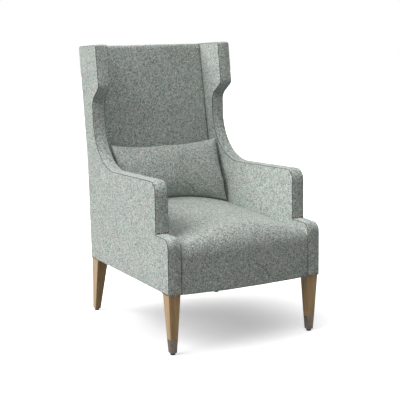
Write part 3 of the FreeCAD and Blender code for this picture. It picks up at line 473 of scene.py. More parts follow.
def boxing_strip(name, side):
    """The strip between the two panels of a side, a little fuller along its middle."""
    corners = [(HEM, BASE), (0.0, BASE, EDGE_ROUND), *FRONT_RUN, REAR_TOP, BOXING_END]
    path = round_corners(corners, closed=False)
    normals = outward(path, closed=False)
    lengths = np.r_[0, np.cumsum(np.linalg.norm(np.diff(path, axis=0), axis=1))]
    edge = [(w, u) for u, w in reversed(lip_section()) if u < 0.02]
    middle = [
        (-0.0009 * math.sin(math.pi * part / 6), THICKNESS * (0.32 + 0.36 * part / 6))
        for part in range(7)
    ]
    across = edge + middle + [(u, THICKNESS - w) for u, w in reversed(edge)]
    run = np.r_[0, np.cumsum([math.dist(a, b) for a, b in zip(across, across[1:])])]
    points, cuts, seams, alongs = [], [], [], []
    for (u, w), travelled in zip(across, run):
        inner = 0.004 < w < THICKNESS - 0.004
        crown = -BOXING_SWELL * math.sin(math.pi * w / THICKNESS) if inner else 0.0
        ring = path - normals * (u + crown)
        points.append(side_place(side, ring[:, 0], ring[:, 1], w))
        cuts.append(np.c_[np.full(len(path), travelled), lengths])
        seams.append(np.full(len(path), in_seam(u)))
        alongs.append(lengths)
    count = len(path)
    faces = [
        (ring * count + i, ring * count + i + 1, (ring + 1) * count + i + 1, (ring + 1) * count + i)
        for ring in range(len(across) - 1)
        for i in range(count - 1)
    ]
    return make_cloth(
        name, np.vstack(points), faces, np.vstack(cuts),
        np.concatenate(seams), np.concatenate(alongs), (0, -1, 1),
    )


inside_corners = [
    (0.0, INSIDE_FOOT),
    *FRONT_RUN,
    (DEPTH - INSIDE_BACK_LINE, 1.1108),
    (KNEE[0] - INSIDE_BACK_LINE, KNEE[1]),
    (REAR_FOOT[0] - INSIDE_BACK_LINE, INSIDE_FOOT),
]
outside_corners = [(0.0, BASE), *FRONT_RUN, REAR_TOP, KNEE, REAR_FOOT]
for side, word in ((-1, "left"), (1, "right")):
    outside = side_panel(
        f"outside_panel_{word}", side, outside_corners, 0.0, OUTSIDE_SWELL, 3.1, (side, 0, 0)
    )
    inside = side_panel(
        f"inside_panel_{word}", side, inside_corners, THICKNESS, INSIDE_SWELL, 8.7, (-side, 0, 0)
    )
    boxing = boxing_strip(f"boxing_{word}", side)
    for piece, nodes in (
        (outside, (f"outside_cover_{word}", f"outside_board_{word}")),
        (inside, (f"inside_side_cover_{word}", f"side_pad_{word}")),
        (boxing, (f"boxing_strip_{word}", f"edge_wadding_{word}")),
    ):
        line_cloth(piece)
        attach(piece, "chair")
        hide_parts(*nodes)

# The seat
# A tight seat of foam over springs, crowned from side to side, in one cloth that rolls over the
# front and runs down to the base. Its edges are drawn down beside the arms.
SOFT_GAP = 0.0003
ROOM = THICKNESS + SOFT_GAP
FACE_LOW, FACE_HIGH = (0.684, 0.440), (0.800, 1.100)
BACK_CROWN = 0.020
# Each pair is the value at the edges, and what the middle has more
SEAT_FRONT, SEAT_REAR, FRONT_ROLL = (0.403, 0.050), (0.448, 0.038), (0.040, 0.055)
SEAT_BELLY, SEAT_SAG, SEAT_TUCK = 0.004, 0.0055, 0.030
SEAT_LIP, BASE_SPREAD, ROLL_SPAN = 0.0075, 0.0026, (0.22, 0.42)
EDGE_TUCK, EDGE_PULL, PULL_REACH, PULL_PITCH = 0.016, 0.0006, 0.022, 0.014
EDGE_FADE, WAVE, SEAM_REACH = 0.05, 0.11, 0.0035


def back_face(height, crown):
    """The setback of the inside back's face."""
    slope = (FACE_HIGH[0] - FACE_LOW[0]) / (FACE_HIGH[1] - FACE_LOW[1])
    return FACE_LOW[0] + (height - FACE_LOW[1]) * slope - BACK_CROWN * crown


def seat_section(crown):
    """The line of the seat from under its front edge up, over and down behind it."""
    front, sag = -SEAT_BELLY * crown, SEAT_SAG * crown
    front_top, rear_top, roll = (
        edge + more * crown for edge, more in (SEAT_FRONT, SEAT_REAR, FRONT_ROLL)
    )
    rear = back_face(rear_top, crown) - SOFT_GAP
    return [
        (HEM, BASE - sag),
        (front, BASE - sag, EDGE_ROUND),
        (front, front_top, roll),
        (rear, rear_top, 0.012),
        (rear, rear_top - SEAT_TUCK),
    ]


def even_line(corners, marks, counts):
    """Points along an open line, in a set number between marked heights or setbacks."""
    line = round_corners(corners, closed=False, arc_step=0.002, run_step=0.004)
    lengths = np.r_[0, np.cumsum(np.linalg.norm(np.diff(line, axis=0), axis=1))]
    places = [0.0] + [np.interp(*mark(line, lengths)) for mark in marks] + [lengths[-1]]
    stops = [
        np.linspace(first, last, count, endpoint=False)
        for first, last, count in zip(places, places[1:], counts)
    ]
    spots = np.concatenate(stops + [[lengths[-1]]])
    points = np.c_[np.interp(spots, lengths, line[:, 0]), np.interp(spots, lengths, line[:, 1])]
    return points, spots


def edge_shares(reach=0.27):
    """Shares of the half width, closer together near the edges."""
    near = [0.0, 0.0005, 0.0011, 0.0019, 0.0029, 0.0042, 0.0058, 0.0078, 0.0105, 0.0140, 0.0190]
    shares = [1 - gap / reach for gap in near] + list(np.linspace(0.895, 0.0, 24))
    return np.array([-share for share in shares[:-1]] + list(reversed(shares)))


def upholstery(name, section, marks, counts, lip_radius, edge_inset, seed, facing, undulation):
    """A crowned cloth between the two sides, with its edges drawn in."""
    shares = edge_shares()
    lines = [even_line(section(1 - share * share), marks, counts) for share in shares]
    rows = len(lines[0][0])
    grid = np.zeros((len(shares), rows, 3))
    for column, (share, (line, spots)) in enumerate(zip(shares, lines)):
        insets = np.array([edge_inset(row / (rows - 1)) for row in range(rows)])
        grid[column, :, 0] = share * (HALF_WIDTH - insets - SIDE_SLOPE * line[:, 0])
        grid[column, :, 1] = line[:, 0] - DEPTH / 2
        grid[column, :, 2] = line[:, 1]
    normals = np.cross(np.gradient(grid, axis=0), np.gradient(grid, axis=1))
    normals /= np.linalg.norm(normals, axis=2)[..., None]
    if (normals * np.array(facing)).sum() < 0:
        normals = -normals
    halves = np.abs(grid[0, :, 0])[None, :]
    gaps = halves - np.abs(grid[..., 0])
    radii = np.array([lip_radius(row / (rows - 1)) for row in range(rows)])[None, :]
    short = np.clip(radii - gaps, 0, None)
    drop = radii - np.sqrt(np.clip(radii**2 - short**2, 0, None))
    for column in range(len(shares)):
        for row in range(rows):
            x, gap = grid[column, row, 0], gaps[column, row]
            full = min(1.0, gap / EDGE_FADE)
            v = lines[column][1][row]
            pull = EDGE_PULL * math.exp(-gap / PULL_REACH) * wave(v, 0.0, PULL_PITCH, seed + 4.0)
            drop[column, row] -= undulation * full * wave(x, v, WAVE, seed) + pull
    grid = grid - normals * drop[..., None]
    tuck = normals * EDGE_TUCK
    edges = [grid[0] - tuck[0], grid[-1] - tuck[-1]]
    grid = np.concatenate([edges[0][None], grid, edges[1][None]])
    gaps = np.concatenate([gaps[:1], gaps, gaps[-1:]])
    columns = len(grid)
    middle = lines[len(lines) // 2][1]
    steps = np.linalg.norm(np.diff(grid, axis=0), axis=2).mean(1)
    sideways = np.r_[0, np.cumsum(steps)]
    sideways -= sideways[-1] / 2
    cuts = np.stack(np.meshgrid(sideways, middle, indexing="ij"), -1)
    # The seam value darkens the cloth towards its tucked edges: painted shade in the crevice
    seams = np.exp(-gaps / SEAM_REACH)
    alongs = np.tile(middle, (columns, 1))
    faces = [
        (i * rows + j, i * rows + j + 1, (i + 1) * rows + j + 1, (i + 1) * rows + j)
        for i in range(columns - 1)
        for j in range(rows - 1)
    ]
    return make_cloth(
        name, grid.reshape(-1, 3), faces, cuts.reshape(-1, 2), seams.ravel(), alongs.ravel(), facing
    )


def at_height(height):
    """A mark where a line passes a height."""
    return lambda line, lengths: (height, line[:, 1][: len(line) // 2], lengths[: len(line) // 2])


def at_setback(setback):
    """A mark where a line passes a setback, past its front."""
    def mark(line, lengths):
        past = slice(int(np.argmax(line[:, 1] > 0.33)), int(np.argmax(line[:, 0])))
        return setback, line[past, 0], lengths[past]
    return mark


seat = upholstery(
    "seat",
    seat_section,
    [at_setback(0.002), at_setback(0.10)],
    [34, 44, 62],
    lambda place: LIP + (SEAT_LIP - LIP) * smooth_step(*ROLL_SPAN, place),
    lambda place: ROOM - (BASE_SPREAD + SOFT_GAP) * (1 - smooth_step(*ROLL_SPAN, place)),
    5.3,
    (0, -1, 1),
    0.0011,
)
line_cloth(seat)
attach(seat, "chair")
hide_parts("seat_cover", "seat_foam")

# The inside back
# A tight foam back over webbing, slightly crowned, whose cloth turns over the top rail between
# the wings and is closed down behind it.
BACK_FOOT, BACK_TURN, LIP_DOWN = (0.400, 0.012), (0.425, 0.020), 0.0072
BACK_LIP, BACK_TOP_LIP, TOP_SPAN = 0.0085, 0.0030, (0.70, 0.80)


def top_line(setback):
    """The height of the top edge at a setback."""
    (front, high), (rear, low) = FRONT_RUN[-1][:2], REAR_TOP[:2]
    return high - (setback - front) * (high - low) / (rear - front)


def back_section(crown):
    """The line of the inside back from behind the seat up, over the top and down behind."""
    top = top_line(DEPTH - 0.027)
    rear = DEPTH - 0.0004
    return [
        (back_face(BACK_FOOT[0], crown) + BACK_FOOT[1], BACK_FOOT[0]),
        (back_face(BACK_TURN[0], crown), *BACK_TURN),
        (back_face(top, crown), top, 0.014),
        (rear, top_line(rear), 0.0045),
        (rear, top_line(rear) - LIP_DOWN, 0.0016),
        (rear - 0.004, top_line(rear) - LIP_DOWN - 0.0004),
    ]


inside_back = upholstery(
    "inside_back",
    back_section,
    [at_height(0.5), at_height(1.085)],
    [8, 84, 40],
    lambda place: BACK_LIP - (BACK_LIP - BACK_TOP_LIP) * smooth_step(*TOP_SPAN, place),
    lambda place: ROOM,
    2.6,
    (0, -1, 0),
    0.0012,
)
line_cloth(inside_back)
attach(inside_back, "chair")
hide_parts("inside_back_cover", "back_foam")

# The outside back
# One cloth over a board, from under the top edge to the base, sewn shut down both rear corners
# and turned under below.
BACK_PARTS, BACK_EDGE, OUTSIDE_BACK_SWELL = 64, 1.1043, 0.0014
PLAIN_TOP, PLAIN_FOOT, PLAIN_SIDE, PLAIN_WIDTH = 1.080, 0.252, 0.030, 0.272


def rear_setback(height):
    """The setback of the rear face at a height."""
    line = round_corners([REAR_FOOT, KNEE, REAR_TOP[:2]], closed=False)
    return np.interp(height, line[:, 1], line[:, 0])


lip = [(u, w) for u, w in lip_section() if u < 0.02]
heights = [(BACK_EDGE - u, w) for u, w in reversed(lip)]
heights += [
    (PLAIN_TOP - (PLAIN_TOP - PLAIN_FOOT) * part / BACK_PARTS, 0.0)
    for part in range(BACK_PARTS + 1)
]
heights += [(BASE + u, w) for u, w in lip]
inward = [(u, w) for u, w in reversed(lip)]
half_sides = inward + [(PLAIN_SIDE + PLAIN_WIDTH * part / 10, 0.0) for part in range(10)]
points, cuts, seams, alongs = [], [], [], []
for height, fall in heights:
    back_at = float(rear_setback(height))
    half = HALF_WIDTH - SIDE_SLOPE * back_at
    row = [(-half + u, w) for u, w in half_sides] + [(0.0, 0.0)]
    row += [(-x, w) for x, w in reversed(row[:-1])]
    for x, w in row:
        gap = half - abs(x)
        top_gap = min(BACK_EDGE - height, height - BASE)
        full = min(1.0, gap / EDGE_FADE) * min(1.0, top_gap / EDGE_FADE)
        swell = OUTSIDE_BACK_SWELL * full * (1 + 0.5 * wave(x, height, 0.16, 6.2))
        points.append((x, back_at - max(w, fall) + swell - DEPTH / 2, height))
        cuts.append((x, height))
        seams.append(in_seam(max(w, fall)))
        alongs.append(height if gap < top_gap else x)
width = len(row)
faces = [
    (i * width + j, i * width + j + 1, (i + 1) * width + j + 1, (i + 1) * width + j)
    for i in range(len(heights) - 1)
    for j in range(width - 1)
]
outside_back = make_cloth("outside_back", points, faces, cuts, seams, alongs, (0, 1, 0))
line_cloth(outside_back)
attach(outside_back, "chair")
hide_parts("outside_back_cover")

# The lumbar pillow
# Two panels sewn at a knife edge and filled, so the sides draw in and the corners stand out as
# ears. It rests on the crown of the seat and leans on the inside back.
PILLOW_HALF, PILLOW_HIGH = 0.246, 0.279
FOOT_RISE, TOP_DIP, SIDE_DIP = 0.042, 0.016, 0.009
FRONT_SWELL, BACK_SWELL, EAR_TURN = 0.061, 0.0500, 0.024
PILLOW_LEAN = math.radians(23)
PILLOW_FOOT = (0.575 - DEPTH / 2, 0.4443)
GRID_X, GRID_Z, FIELD = 70, 42, 0.008
CUT_HALF, CUT_HIGH, CUTS_APART = 0.262, 0.330, 3
FLAT_RISE, FIRST_RISE, BLOWN_UP_AT = 0.004, 0.010, 35

spots = [(i, j) for j in range(GRID_Z + 1) for i in range(GRID_X + 1)]
rim = {(i, j) for i, j in spots if i in (0, GRID_X) or j in (0, GRID_Z)}
numbers, points, cuts, seams, alongs = {}, [], [], [], []
for layer in (-1, 1):
    for i, j in spots:
        if layer == 1 and (i, j) in rim:
            numbers[1, i, j] = numbers[-1, i, j]
            continue
        numbers[layer, i, j] = len(points)
        x = CUT_HALF * (2 * i / GRID_X - 1)
        z = CUT_HIGH * j / GRID_Z
        gap = min(i, GRID_X - i, j, GRID_Z - j)
        rise = 0.0 if gap == 0 else FLAT_RISE + FIRST_RISE * min(1, gap / 6)
        points.append((x, layer * rise, z))
        cuts.append((x + CUTS_APART * (layer == 1), z))
        # The seam value darkens the cloth towards the knife edge: painted shade along the seam
        seams.append(math.exp(-gap * FIELD / SEAM_REACH))
        alongs.append(x + z)
faces = []
for layer in (-1, 1):
    for j in range(GRID_Z):
        for i in range(GRID_X):
            field = ((i, j), (i + 1, j), (i + 1, j + 1), (i, j + 1))
            ring = [numbers[layer, across, up] for across, up in field]
            faces.append(tuple(ring if layer == -1 else reversed(ring)))
pillow = make_cloth("pillow", points, faces, cuts, seams, alongs, None)
cloth = pillow.modifiers.new("filling", "CLOTH")
cloth.settings.quality = 6
cloth.settings.mass = 0.25
cloth.settings.tension_stiffness = 22
cloth.settings.compression_stiffness = 6
cloth.settings.shear_stiffness = 4
cloth.settings.bending_stiffness = 3.0
cloth.settings.air_damping = 2.0
cloth.settings.use_pressure = True
cloth.settings.uniform_pressure_force = 9.0
cloth.settings.effector_weights.gravity = 0.0
cloth.point_cache.frame_start, cloth.point_cache.frame_end = 1, BLOWN_UP_AT + 5
for step in range(1, BLOWN_UP_AT + 1):
    bpy.context.scene.frame_set(step)
apply_all(pillow)
bpy.context.scene.frame_set(1)
ease = pillow.modifiers.new("ease", "SMOOTH")
ease.factor, ease.iterations = 0.5, 45
apply_all(pillow)
shape = np.zeros(len(pillow.data.vertices) * 3)
pillow.data.vertices.foreach_get("co", shape)
shape = shape.reshape(-1, 3)
# The blown-up panels set to the pillow's own outline and thickness, the ears turned forward
foot_line = np.array([shape[numbers[-1, i, 0]] for i in range(GRID_X + 1)])
head_line = np.array([shape[numbers[-1, i, GRID_Z]] for i in range(GRID_X + 1)])
side_line = np.array([shape[numbers[-1, GRID_X, j]] for j in range(GRID_Z + 1)])
across = shape[:, 0] / np.interp(shape[:, 2], side_line[:, 2], side_line[:, 0])
foot_now = np.interp(shape[:, 0], foot_line[:, 0], foot_line[:, 2])
head_now = np.interp(shape[:, 0], head_line[:, 0], head_line[:, 2])
level = (shape[:, 2] - foot_now) / (head_now - foot_now)
crown = np.clip(1 - across**2, 0, 1)
foot, head = FOOT_RISE * crown, PILLOW_HIGH - TOP_DIP * crown
up = foot + level * (head - foot)
across = across * (PILLOW_HALF - SIDE_DIP * np.clip(1 - (2 * level - 1) ** 2, 0, 1))
front_now, back_now = -shape[:, 1].min(), shape[:, 1].max()
thick = np.where(
    shape[:, 1] < 0, shape[:, 1] * FRONT_SWELL / front_now, shape[:, 1] * BACK_SWELL / back_now
)
thick -= EAR_TURN * np.abs(across / PILLOW_HALF) ** 5 * (0.4 + 0.6 * level)
turn = Matrix.Rotation(-PILLOW_LEAN, 3, "X")
placed = np.stack([across, thick, up], -1) @ np.array(turn).T
placed += np.array([0, *PILLOW_FOOT])
pillow.data.vertices.foreach_set("co", placed.ravel())
pillow.data.update()
smooth = pillow.modifiers.new("smooth", "SUBSURF")
smooth.levels = smooth.render_levels = 1
apply_all(pillow)
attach(pillow, "lumbar_pillow")
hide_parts("pillow_cover", "pillow_filling")

# The legs
# Solid light oak, square and tapered, with eased edges. The front pair narrows on all sides down
# to a ferrule, and the rear pair rakes backwards and narrows on the inside and the front.
LEG_TOP, LEG_FOOT, GLIDE, FERRULE_TOP = 0.048, 0.024, 0.008, 0.060
LEG_HEIGHT, LEG_GAP, EASE = 0.230, 0.0026, 0.0011
FRONT_SETBACK, REAR_TOP_RUN, REAR_FOOT_RUN = 0.0074, (0.699, 0.757), (0.740, 0.766)
OAK_SHADES = [
    (0.30, (0.272, 0.151, 0.050)),
    (0.50, (0.368, 0.226, 0.087)),
    (0.70, (0.432, 0.286, 0.126)),
]
PORE = (0.16, 0.09, 0.04, 1)


def pick(piece, test, what="faces"):
    """Select in edit mode the faces or edges that pass a test on their middle."""
    bpy.ops.object.mode_set(mode="OBJECT")
    mesh = piece.data
    for items in (mesh.vertices, mesh.edges, mesh.polygons):
        items.foreach_set("select", [False] * len(items))
    for item in mesh.polygons if what == "faces" else mesh.edges:
        ends = [mesh.vertices[number].co for number in item.vertices]
        if test(sum(ends, Vector()) / len(ends), ends):
            item.select = True
            for number in item.vertices:
                mesh.vertices[number].select = True
    bpy.ops.object.mode_set(mode="EDIT")
    bpy.ops.mesh.select_mode(type="FACE" if what == "faces" else "EDGE")


def squared_block(name, top, foot, high, low):
    """A tapered block between two level rectangles of (x low, x high, y low, y high)."""
    bpy.ops.object.select_all(action="DESELECT")
    bpy.ops.mesh.primitive_cube_add(
        size=1,
        location=((top[0] + top[1]) / 2, (top[2] + top[3]) / 2, (high + low) / 2),
        scale=(top[1] - top[0], top[3] - top[2], high - low),
    )
    block = bpy.context.object
    block.name = block.data.name = name
    bpy.ops.object.transform_apply(location=True, rotation=True, scale=True)
    pick(block, lambda middle, ends: middle.z < low + 0.001)
    centre = ((top[0] + top[1]) / 2, (top[2] + top[3]) / 2, low)
    bpy.ops.transform.resize(
        value=((foot[1] - foot[0]) / (top[1] - top[0]), (foot[3] - foot[2]) / (top[3] - top[2]), 1),
        center_override=centre,
    )
    bpy.ops.transform.translate(
        value=((foot[0] + foot[1]) / 2 - centre[0], (foot[2] + foot[3]) / 2 - centre[1], 0)
    )
    bpy.ops.object.mode_set(mode="OBJECT")
    return block


def ease_edges(block, width, segments=3):
    """Round the long edges of a block, and those of its foot."""
    pick(block, lambda middle, ends: abs(ends[0].z - ends[1].z) > 0.01, "edges")
    bpy.ops.mesh.bevel(offset=width, segments=segments)
    low = min(vertex.co.z for vertex in block.data.vertices)
    pick(block, lambda middle, ends: max(end.z for end in ends) < low + 0.0004, "edges")
    bpy.ops.mesh.bevel(offset=width * 0.6, segments=2)
    bpy.ops.object.mode_set(mode="OBJECT")
    bpy.ops.object.shade_smooth_by_angle(angle=math.radians(35))


def mirror_copy(piece, name):
    """The same piece for the right side."""
    twin = piece.copy()
    twin.data = piece.data.copy()
    twin.name = twin.data.name = name
    bpy.context.scene.collection.objects.link(twin)
    twin.data.transform(Matrix.Scale(-1, 4, (1, 0, 0)))
    twin.data.flip_normals()
    return twin


def square_about(x, y, side):
    """The rectangle of a square about a point."""
    return (x - side / 2, x + side / 2, y - side / 2, y + side / 2)


front_outer = HALF_WIDTH - LEG_GAP - SIDE_SLOPE * (FRONT_SETBACK + LEG_TOP)
front_x, front_y = -(front_outer - LEG_TOP / 2), FRONT_SETBACK + LEG_TOP / 2 - DEPTH / 2
ferrule_wide = LEG_FOOT + (FERRULE_TOP - GLIDE) * (LEG_TOP - LEG_FOOT) / (LEG_HEIGHT - GLIDE)
front_leg = squared_block(
    "front_leg_wood_left",
    square_about(front_x, front_y, LEG_TOP),
    square_about(front_x, front_y, ferrule_wide),
    LEG_HEIGHT,
    FERRULE_TOP,
)
rear_outer = -(HALF_WIDTH - LEG_GAP - SIDE_SLOPE * REAR_TOP_RUN[1])
rear_leg = squared_block(
    "rear_leg_wood_left",
    (rear_outer, rear_outer + LEG_TOP, *(run - DEPTH / 2 for run in REAR_TOP_RUN)),
    (rear_outer, rear_outer + LEG_FOOT, *(run - DEPTH / 2 for run in REAR_FOOT_RUN)),
    LEG_HEIGHT,
    GLIDE,
)

# Oak: fine straight grain along the leg, and open pores
oak, tree, shader = new_material("oak")
where = add_node(tree, "ShaderNodeTexCoord")
stretch = add_node(
    tree, "ShaderNodeMapping", {"Vector": where.outputs["Object"], "Scale": (34.0, 34.0, 1.6)}
)
figure = add_node(
    tree,
    "ShaderNodeTexNoise",
    {"Vector": stretch.outputs[0], "Scale": 1.6, "Detail": 5.0, "Distortion": 0.6},
)
pores = add_node(
    tree,
    "ShaderNodeMapping",
    {"Vector": where.outputs["Object"], "Scale": (1500.0, 1500.0, 42.0)},
)
pore_field = add_node(tree, "ShaderNodeTexNoise", {"Vector": pores.outputs[0], "Scale": 1.0})
pore_mask = shade_ramp(
    tree, pore_field.outputs[0], [(0.0, (0, 0, 0)), (0.42, (0, 0, 0)), (0.55, (1, 1, 1))]
)
wood = shade_ramp(tree, figure.outputs[0], OAK_SHADES)
wood = blend_colours(tree, pore_mask, blend_colours(tree, 0.35, wood, PORE), wood)
tree.links.new(wood, shader.inputs["Base Color"])
tree.links.new(blend_numbers(tree, figure.outputs[0], 0.52, 0.40), shader.inputs["Roughness"])
shader.inputs["Specular IOR Level"].default_value = 0.42
shader.inputs["Sheen Weight"].default_value = 0.3
shader.inputs["Sheen Roughness"].default_value = 0.4
wood_bump = add_node(
    tree, "ShaderNodeBump", {"Height": pore_mask, "Strength": 0.35, "Distance": 0.0002}
)
tree.links.new(wood_bump.outputs[0], shader.inputs["Normal"])

for leg, node in ((front_leg, "front_leg"), (rear_leg, "rear_leg")):
    leg.data.materials.append(oak)
    ease_edges(leg, EASE)
    twin = mirror_copy(leg, leg.name.replace("left", "right"))
    for piece, word in ((leg, "left"), (twin, "right")):
        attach(piece, "chair")
        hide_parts(f"{node}_{word}")

# The ferrules and glides
# Each front leg ends in a thin metal cap with a brushed, slightly darkened face. All four legs
# stand on black nylon glides.
FERRULE_WALL, FERRULE_MOUTH, FERRULE_EASE = 0.0011, 0.004, 0.0012
PEWTER_SHADES = [
    (0.35, (0.083, 0.069, 0.056)),
    (0.65, (0.114, 0.096, 0.079)),
    (0.90, (0.147, 0.125, 0.107)),
]

ferrule = squared_block(
    "ferrule_cap_left",
    square_about(front_x, front_y, ferrule_wide + 0.0006),
    square_about(front_x, front_y, LEG_FOOT),
    FERRULE_TOP,
    GLIDE,
)
pick(ferrule, lambda middle, ends: middle.z > FERRULE_TOP - 0.001)
bpy.ops.mesh.inset(thickness=FERRULE_WALL)
bpy.ops.mesh.extrude_region_move(TRANSFORM_OT_translate={"value": (0, 0, -FERRULE_MOUTH)})
bpy.ops.object.mode_set(mode="OBJECT")

pewter, tree, shader = new_material("pewter")
where = add_node(tree, "ShaderNodeTexCoord")
brushed = add_node(
    tree,
    "ShaderNodeMapping",
    {"Vector": where.outputs["Object"], "Scale": (60.0, 60.0, 2600.0)},
)
strokes = add_node(tree, "ShaderNodeTexNoise", {"Vector": brushed.outputs[0], "Scale": 1.0})
patina = add_node(
    tree, "ShaderNodeTexNoise", {"Vector": where.outputs["Object"], "Scale": 90.0, "Detail": 3.0}
)
tone = reckon(
    tree, "ADD", reckon(tree, "MULTIPLY", strokes.outputs[0], 0.35), patina.outputs[0]
)
tree.links.new(shade_ramp(tree, tone, PEWTER_SHADES), shader.inputs["Base Color"])
shader.inputs["Metallic"].default_value = 1.0
tree.links.new(blend_numbers(tree, strokes.outputs[0], 0.42, 0.58), shader.inputs["Roughness"])
metal_bump = add_node(
    tree, "ShaderNodeBump", {"Height": strokes.outputs[0], "Strength": 0.2, "Distance": 0.0001}
)
tree.links.new(metal_bump.outputs[0], shader.inputs["Normal"])

ferrule.data.materials.append(pewter)
ease_edges(ferrule, FERRULE_EASE)
for piece, word in ((ferrule, "left"), (mirror_copy(ferrule, "ferrule_cap_right"), "right")):
    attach(piece, "chair")
    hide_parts(f"leg_ferrule_{word}")


def plain_finish(name, low, high, roughness, metallic=0.0, scale=120.0, stretch=(1, 1, 1)):
    """A finish with a fine mottle between two shades, and a matching relief."""
    material, tree, shader = new_material(name)
    where = add_node(tree, "ShaderNodeTexCoord")
    drawn = add_node(
        tree, "ShaderNodeMapping", {"Vector": where.outputs["Object"], "Scale": stretch}
    )
    mottle = add_node(
        tree, "ShaderNodeTexNoise", {"Vector": drawn.outputs[0], "Scale": scale, "Detail": 4.0}
    )
    colour = shade_ramp(tree, mottle.outputs[0], [(0.3, low), (0.7, high)])
    tree.links.new(colour, shader.inputs["Base Color"])
    tree.links.new(
        blend_numbers(tree, mottle.outputs[0], roughness - 0.08, roughness + 0.08),
        shader.inputs["Roughness"],
    )
    shader.inputs["Metallic"].default_value = metallic
    relief = add_node(
        tree, "ShaderNodeBump", {"Height": mottle.outputs[0], "Strength": 0.25, "Distance": 0.0003}
    )
    tree.links.new(relief.outputs[0], shader.inputs["Normal"])
    return material


def finish_nodes(material, *names):
    """Give carried-over pieces their finish."""
    for name in names:
        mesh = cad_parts[name].data
        mesh.materials.clear()
        mesh.materials.append(material)


glide_nylon = plain_finish("glide_nylon", (0.010, 0.009, 0.009), (0.022, 0.020, 0.019), 0.45)
finish_nodes(glide_nylon, "floor_glides")

# The nails
# Small domed heads in aged bronze, set edge to edge over each leg and at the foot of each arm.
bronze = plain_finish(
    "nail_bronze", (0.075, 0.052, 0.036), (0.190, 0.135, 0.092), 0.42, 1.0, 420.0
)
finish_nodes(bronze, "leg_nail_heads", "arm_nail_heads")

# The frame and the inside
# Kiln-dried frame timber, fibre board, steel springs and clips, woven webbing, felt and a black
# cambric dust cover. Most of it stays out of sight.
timber = plain_finish(
    "frame_timber", (0.42, 0.29, 0.17), (0.60, 0.45, 0.29), 0.7, 0.0, 30.0, (1, 1, 6)
)
finish_nodes(
    timber,
    "front_seat_rail", "rear_seat_rail", "back_tack_rail", "back_top_rail", "corner_blocks",
    *(f"{name}_{word}" for word in ("left", "right") for name in (
        "arm_post", "arm_rail", "back_post", "base_front_post", "side_seat_rail", "step_rail",
        "wing_post", "wing_top_rail",
    )),
)
board = plain_finish("panel_board", (0.30, 0.22, 0.14), (0.38, 0.29, 0.19), 0.85, 0.0, 260.0)
finish_nodes(board, "outside_back_board")
zinc = plain_finish("zinc_steel", (0.42, 0.42, 0.41), (0.60, 0.60, 0.58), 0.32, 1.0, 90.0)
finish_nodes(zinc, "seat_springs", "spring_clips", "dust_cover_staples", "leg_bolts", "leg_nuts")
jute = plain_finish("webbing", (0.20, 0.15, 0.10), (0.42, 0.34, 0.24), 0.9, 0.0, 600.0, (1, 1, 3))
finish_nodes(jute, "back_webbing")
felt = plain_finish("felt", (0.13, 0.13, 0.13), (0.34, 0.33, 0.32), 0.95, 0.0, 300.0)
finish_nodes(felt, "spring_insulator")
cambric = plain_finish(
    "cambric", (0.012, 0.012, 0.013), (0.028, 0.028, 0.030), 0.85, 0.0, 900.0
)
finish_nodes(cambric, "dust_cover")

# The camera
# At the photograph's viewing angle: from the left front, a little above the arms.
CAMERA_AT = Vector((-2.00215, -3.7326, 1.19878))
RIGHT = Vector((0.876797, -0.480663, -0.013807))
UP = Vector((0.090952, 0.137577, 0.986306))
AHEAD = Vector((0.472181, 0.866046, -0.164345))
lens = bpy.data.cameras.new("camera")
lens.lens = 95.63
lens.sensor_width = 36
camera = bpy.data.objects.new("camera", lens)
bpy.context.scene.collection.objects.link(camera)
turned = Matrix((RIGHT, UP, -AHEAD)).transposed().to_4x4()
camera.matrix_world = Matrix.Translation(CAMERA_AT) @ turned
bpy.context.scene.camera = camera

# The studio
# A white floor and backdrop, a broad key light high on the left, two softboxes above, a weak
# light on the right side, and an even fill from the dome.
KEY_FROM, KEY_ANGLE, KEY_POWER = Vector((-0.75, 0.15, 0.64)), 60, 3.95
BOX_AT, BOX_SIZE, BOX_POWER = Vector((-0.45, -1.5, 2.2)), 1.2, 11.0
TOP_AT, TOP_POWER = Vector((-0.1, -0.45, 2.6)), 5.2
RIGHT_FROM, RIGHT_POWER = Vector((0.93, 0.28, 0.24)), 1.0
RIGHT_SPREAD, AIM, FLOOR_SIZE = 50, Vector((0, 0, 0.85)), 40
FILL, SKY = 0.02, 0.24
# Where and how deep the painted shadow on the floor lies
SHADOW_MIDDLE, SHADOW_REACH, SHADOW_GLOW = (-0.05, -0.12), (0.15, 0.84), 0.31
FLOOR_SEEN, FLOOR_FELT = (0.68, 0.68, 0.68, 1), (0.24, 0.24, 0.24, 1)


def place_lamp(name, kind, toward, place, power):
    """A lamp at a place, shining along a direction."""
    lamp = bpy.data.lights.new(name, kind)
    lamp.energy = power
    stand = bpy.data.objects.new(name, lamp)
    bpy.context.scene.collection.objects.link(stand)
    stand.location = place
    stand.rotation_euler = toward.to_track_quat("-Z", "Y").to_euler()
    return lamp


key = place_lamp("key", "SUN", -KEY_FROM, KEY_FROM * 3, KEY_POWER)
key.angle = math.radians(KEY_ANGLE)
right_fill = place_lamp("right_fill", "SUN", -RIGHT_FROM, RIGHT_FROM * 3, RIGHT_POWER)
right_fill.angle = math.radians(RIGHT_SPREAD)
for name, place, power in (("softbox", BOX_AT, BOX_POWER), ("top_box", TOP_AT, TOP_POWER)):
    softbox = place_lamp(name, "AREA", AIM - place, place, power)
    softbox.size = BOX_SIZE


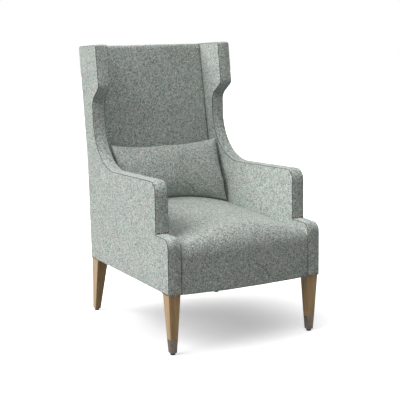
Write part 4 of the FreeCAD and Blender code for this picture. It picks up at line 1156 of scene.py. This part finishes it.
def seen_directly(tree):
    """1 for what the camera sees, also in a reflection or through glass."""
    path = add_node(tree, "ShaderNodeLightPath")
    seen = reckon(tree, "MAXIMUM", path.outputs["Is Camera Ray"], path.outputs["Is Glossy Ray"])
    return reckon(tree, "MAXIMUM", seen, path.outputs["Is Transmission Ray"])


bpy.ops.object.select_all(action="DESELECT")
bpy.ops.mesh.primitive_plane_add(size=FLOOR_SIZE, location=(0, 0, 0))
floor = bpy.context.object
floor.name = "studio_floor"
paper, tree, shader = new_material("studio_paper")
shader.inputs["Roughness"].default_value = 1.0
shader.inputs["Specular IOR Level"].default_value = 0.0
seen = seen_directly(tree)
# The floor's glow is dimmed in a soft round patch about the chair: a painted shadow on top of the
# cast one
where = add_node(tree, "ShaderNodeTexCoord")
from_chair = add_node(
    tree,
    "ShaderNodeVectorMath",
    {0: where.outputs["Object"], 1: (*SHADOW_MIDDLE, 0.0)},
    operation="DISTANCE",
)
painted_shadow = add_node(
    tree,
    "ShaderNodeMapRange",
    {
        0: from_chair.outputs["Value"],
        1: SHADOW_REACH[0],
        2: SHADOW_REACH[1],
        3: SHADOW_GLOW,
        4: 1.0,
    },
    interpolation_type="SMOOTHSTEP",
)
glow = reckon(tree, "MULTIPLY", seen, painted_shadow.outputs[0])
glow = add_node(tree, "ShaderNodeCombineColor", {0: glow, 1: glow, 2: glow})
tree.links.new(glow.outputs[0], shader.inputs["Emission Color"])
shader.inputs["Emission Strength"].default_value = 1.0
tree.links.new(
    blend_colours(tree, seen, FLOOR_FELT, FLOOR_SEEN), shader.inputs["Base Color"]
)
floor.data.materials.append(paper)

world = bpy.data.worlds.new("studio")
bpy.context.scene.world = world
world.use_nodes = True
tree = world.node_tree
sky = tree.nodes["Background"]
sky.inputs["Color"].default_value = (1, 1, 1, 1)
where = add_node(tree, "ShaderNodeTexCoord")
high = add_node(tree, "ShaderNodeSeparateXYZ", {0: where.outputs["Generated"]})
dome = add_node(
    tree, "ShaderNodeMapRange", {0: high.outputs[2], 1: 0.0, 2: 0.8, 3: FILL, 4: SKY}
)
tree.links.new(
    blend_numbers(tree, seen_directly(tree), dome.outputs[0], 1.0), sky.inputs["Strength"]
)
bpy.context.scene.view_settings.view_transform = "Standard"
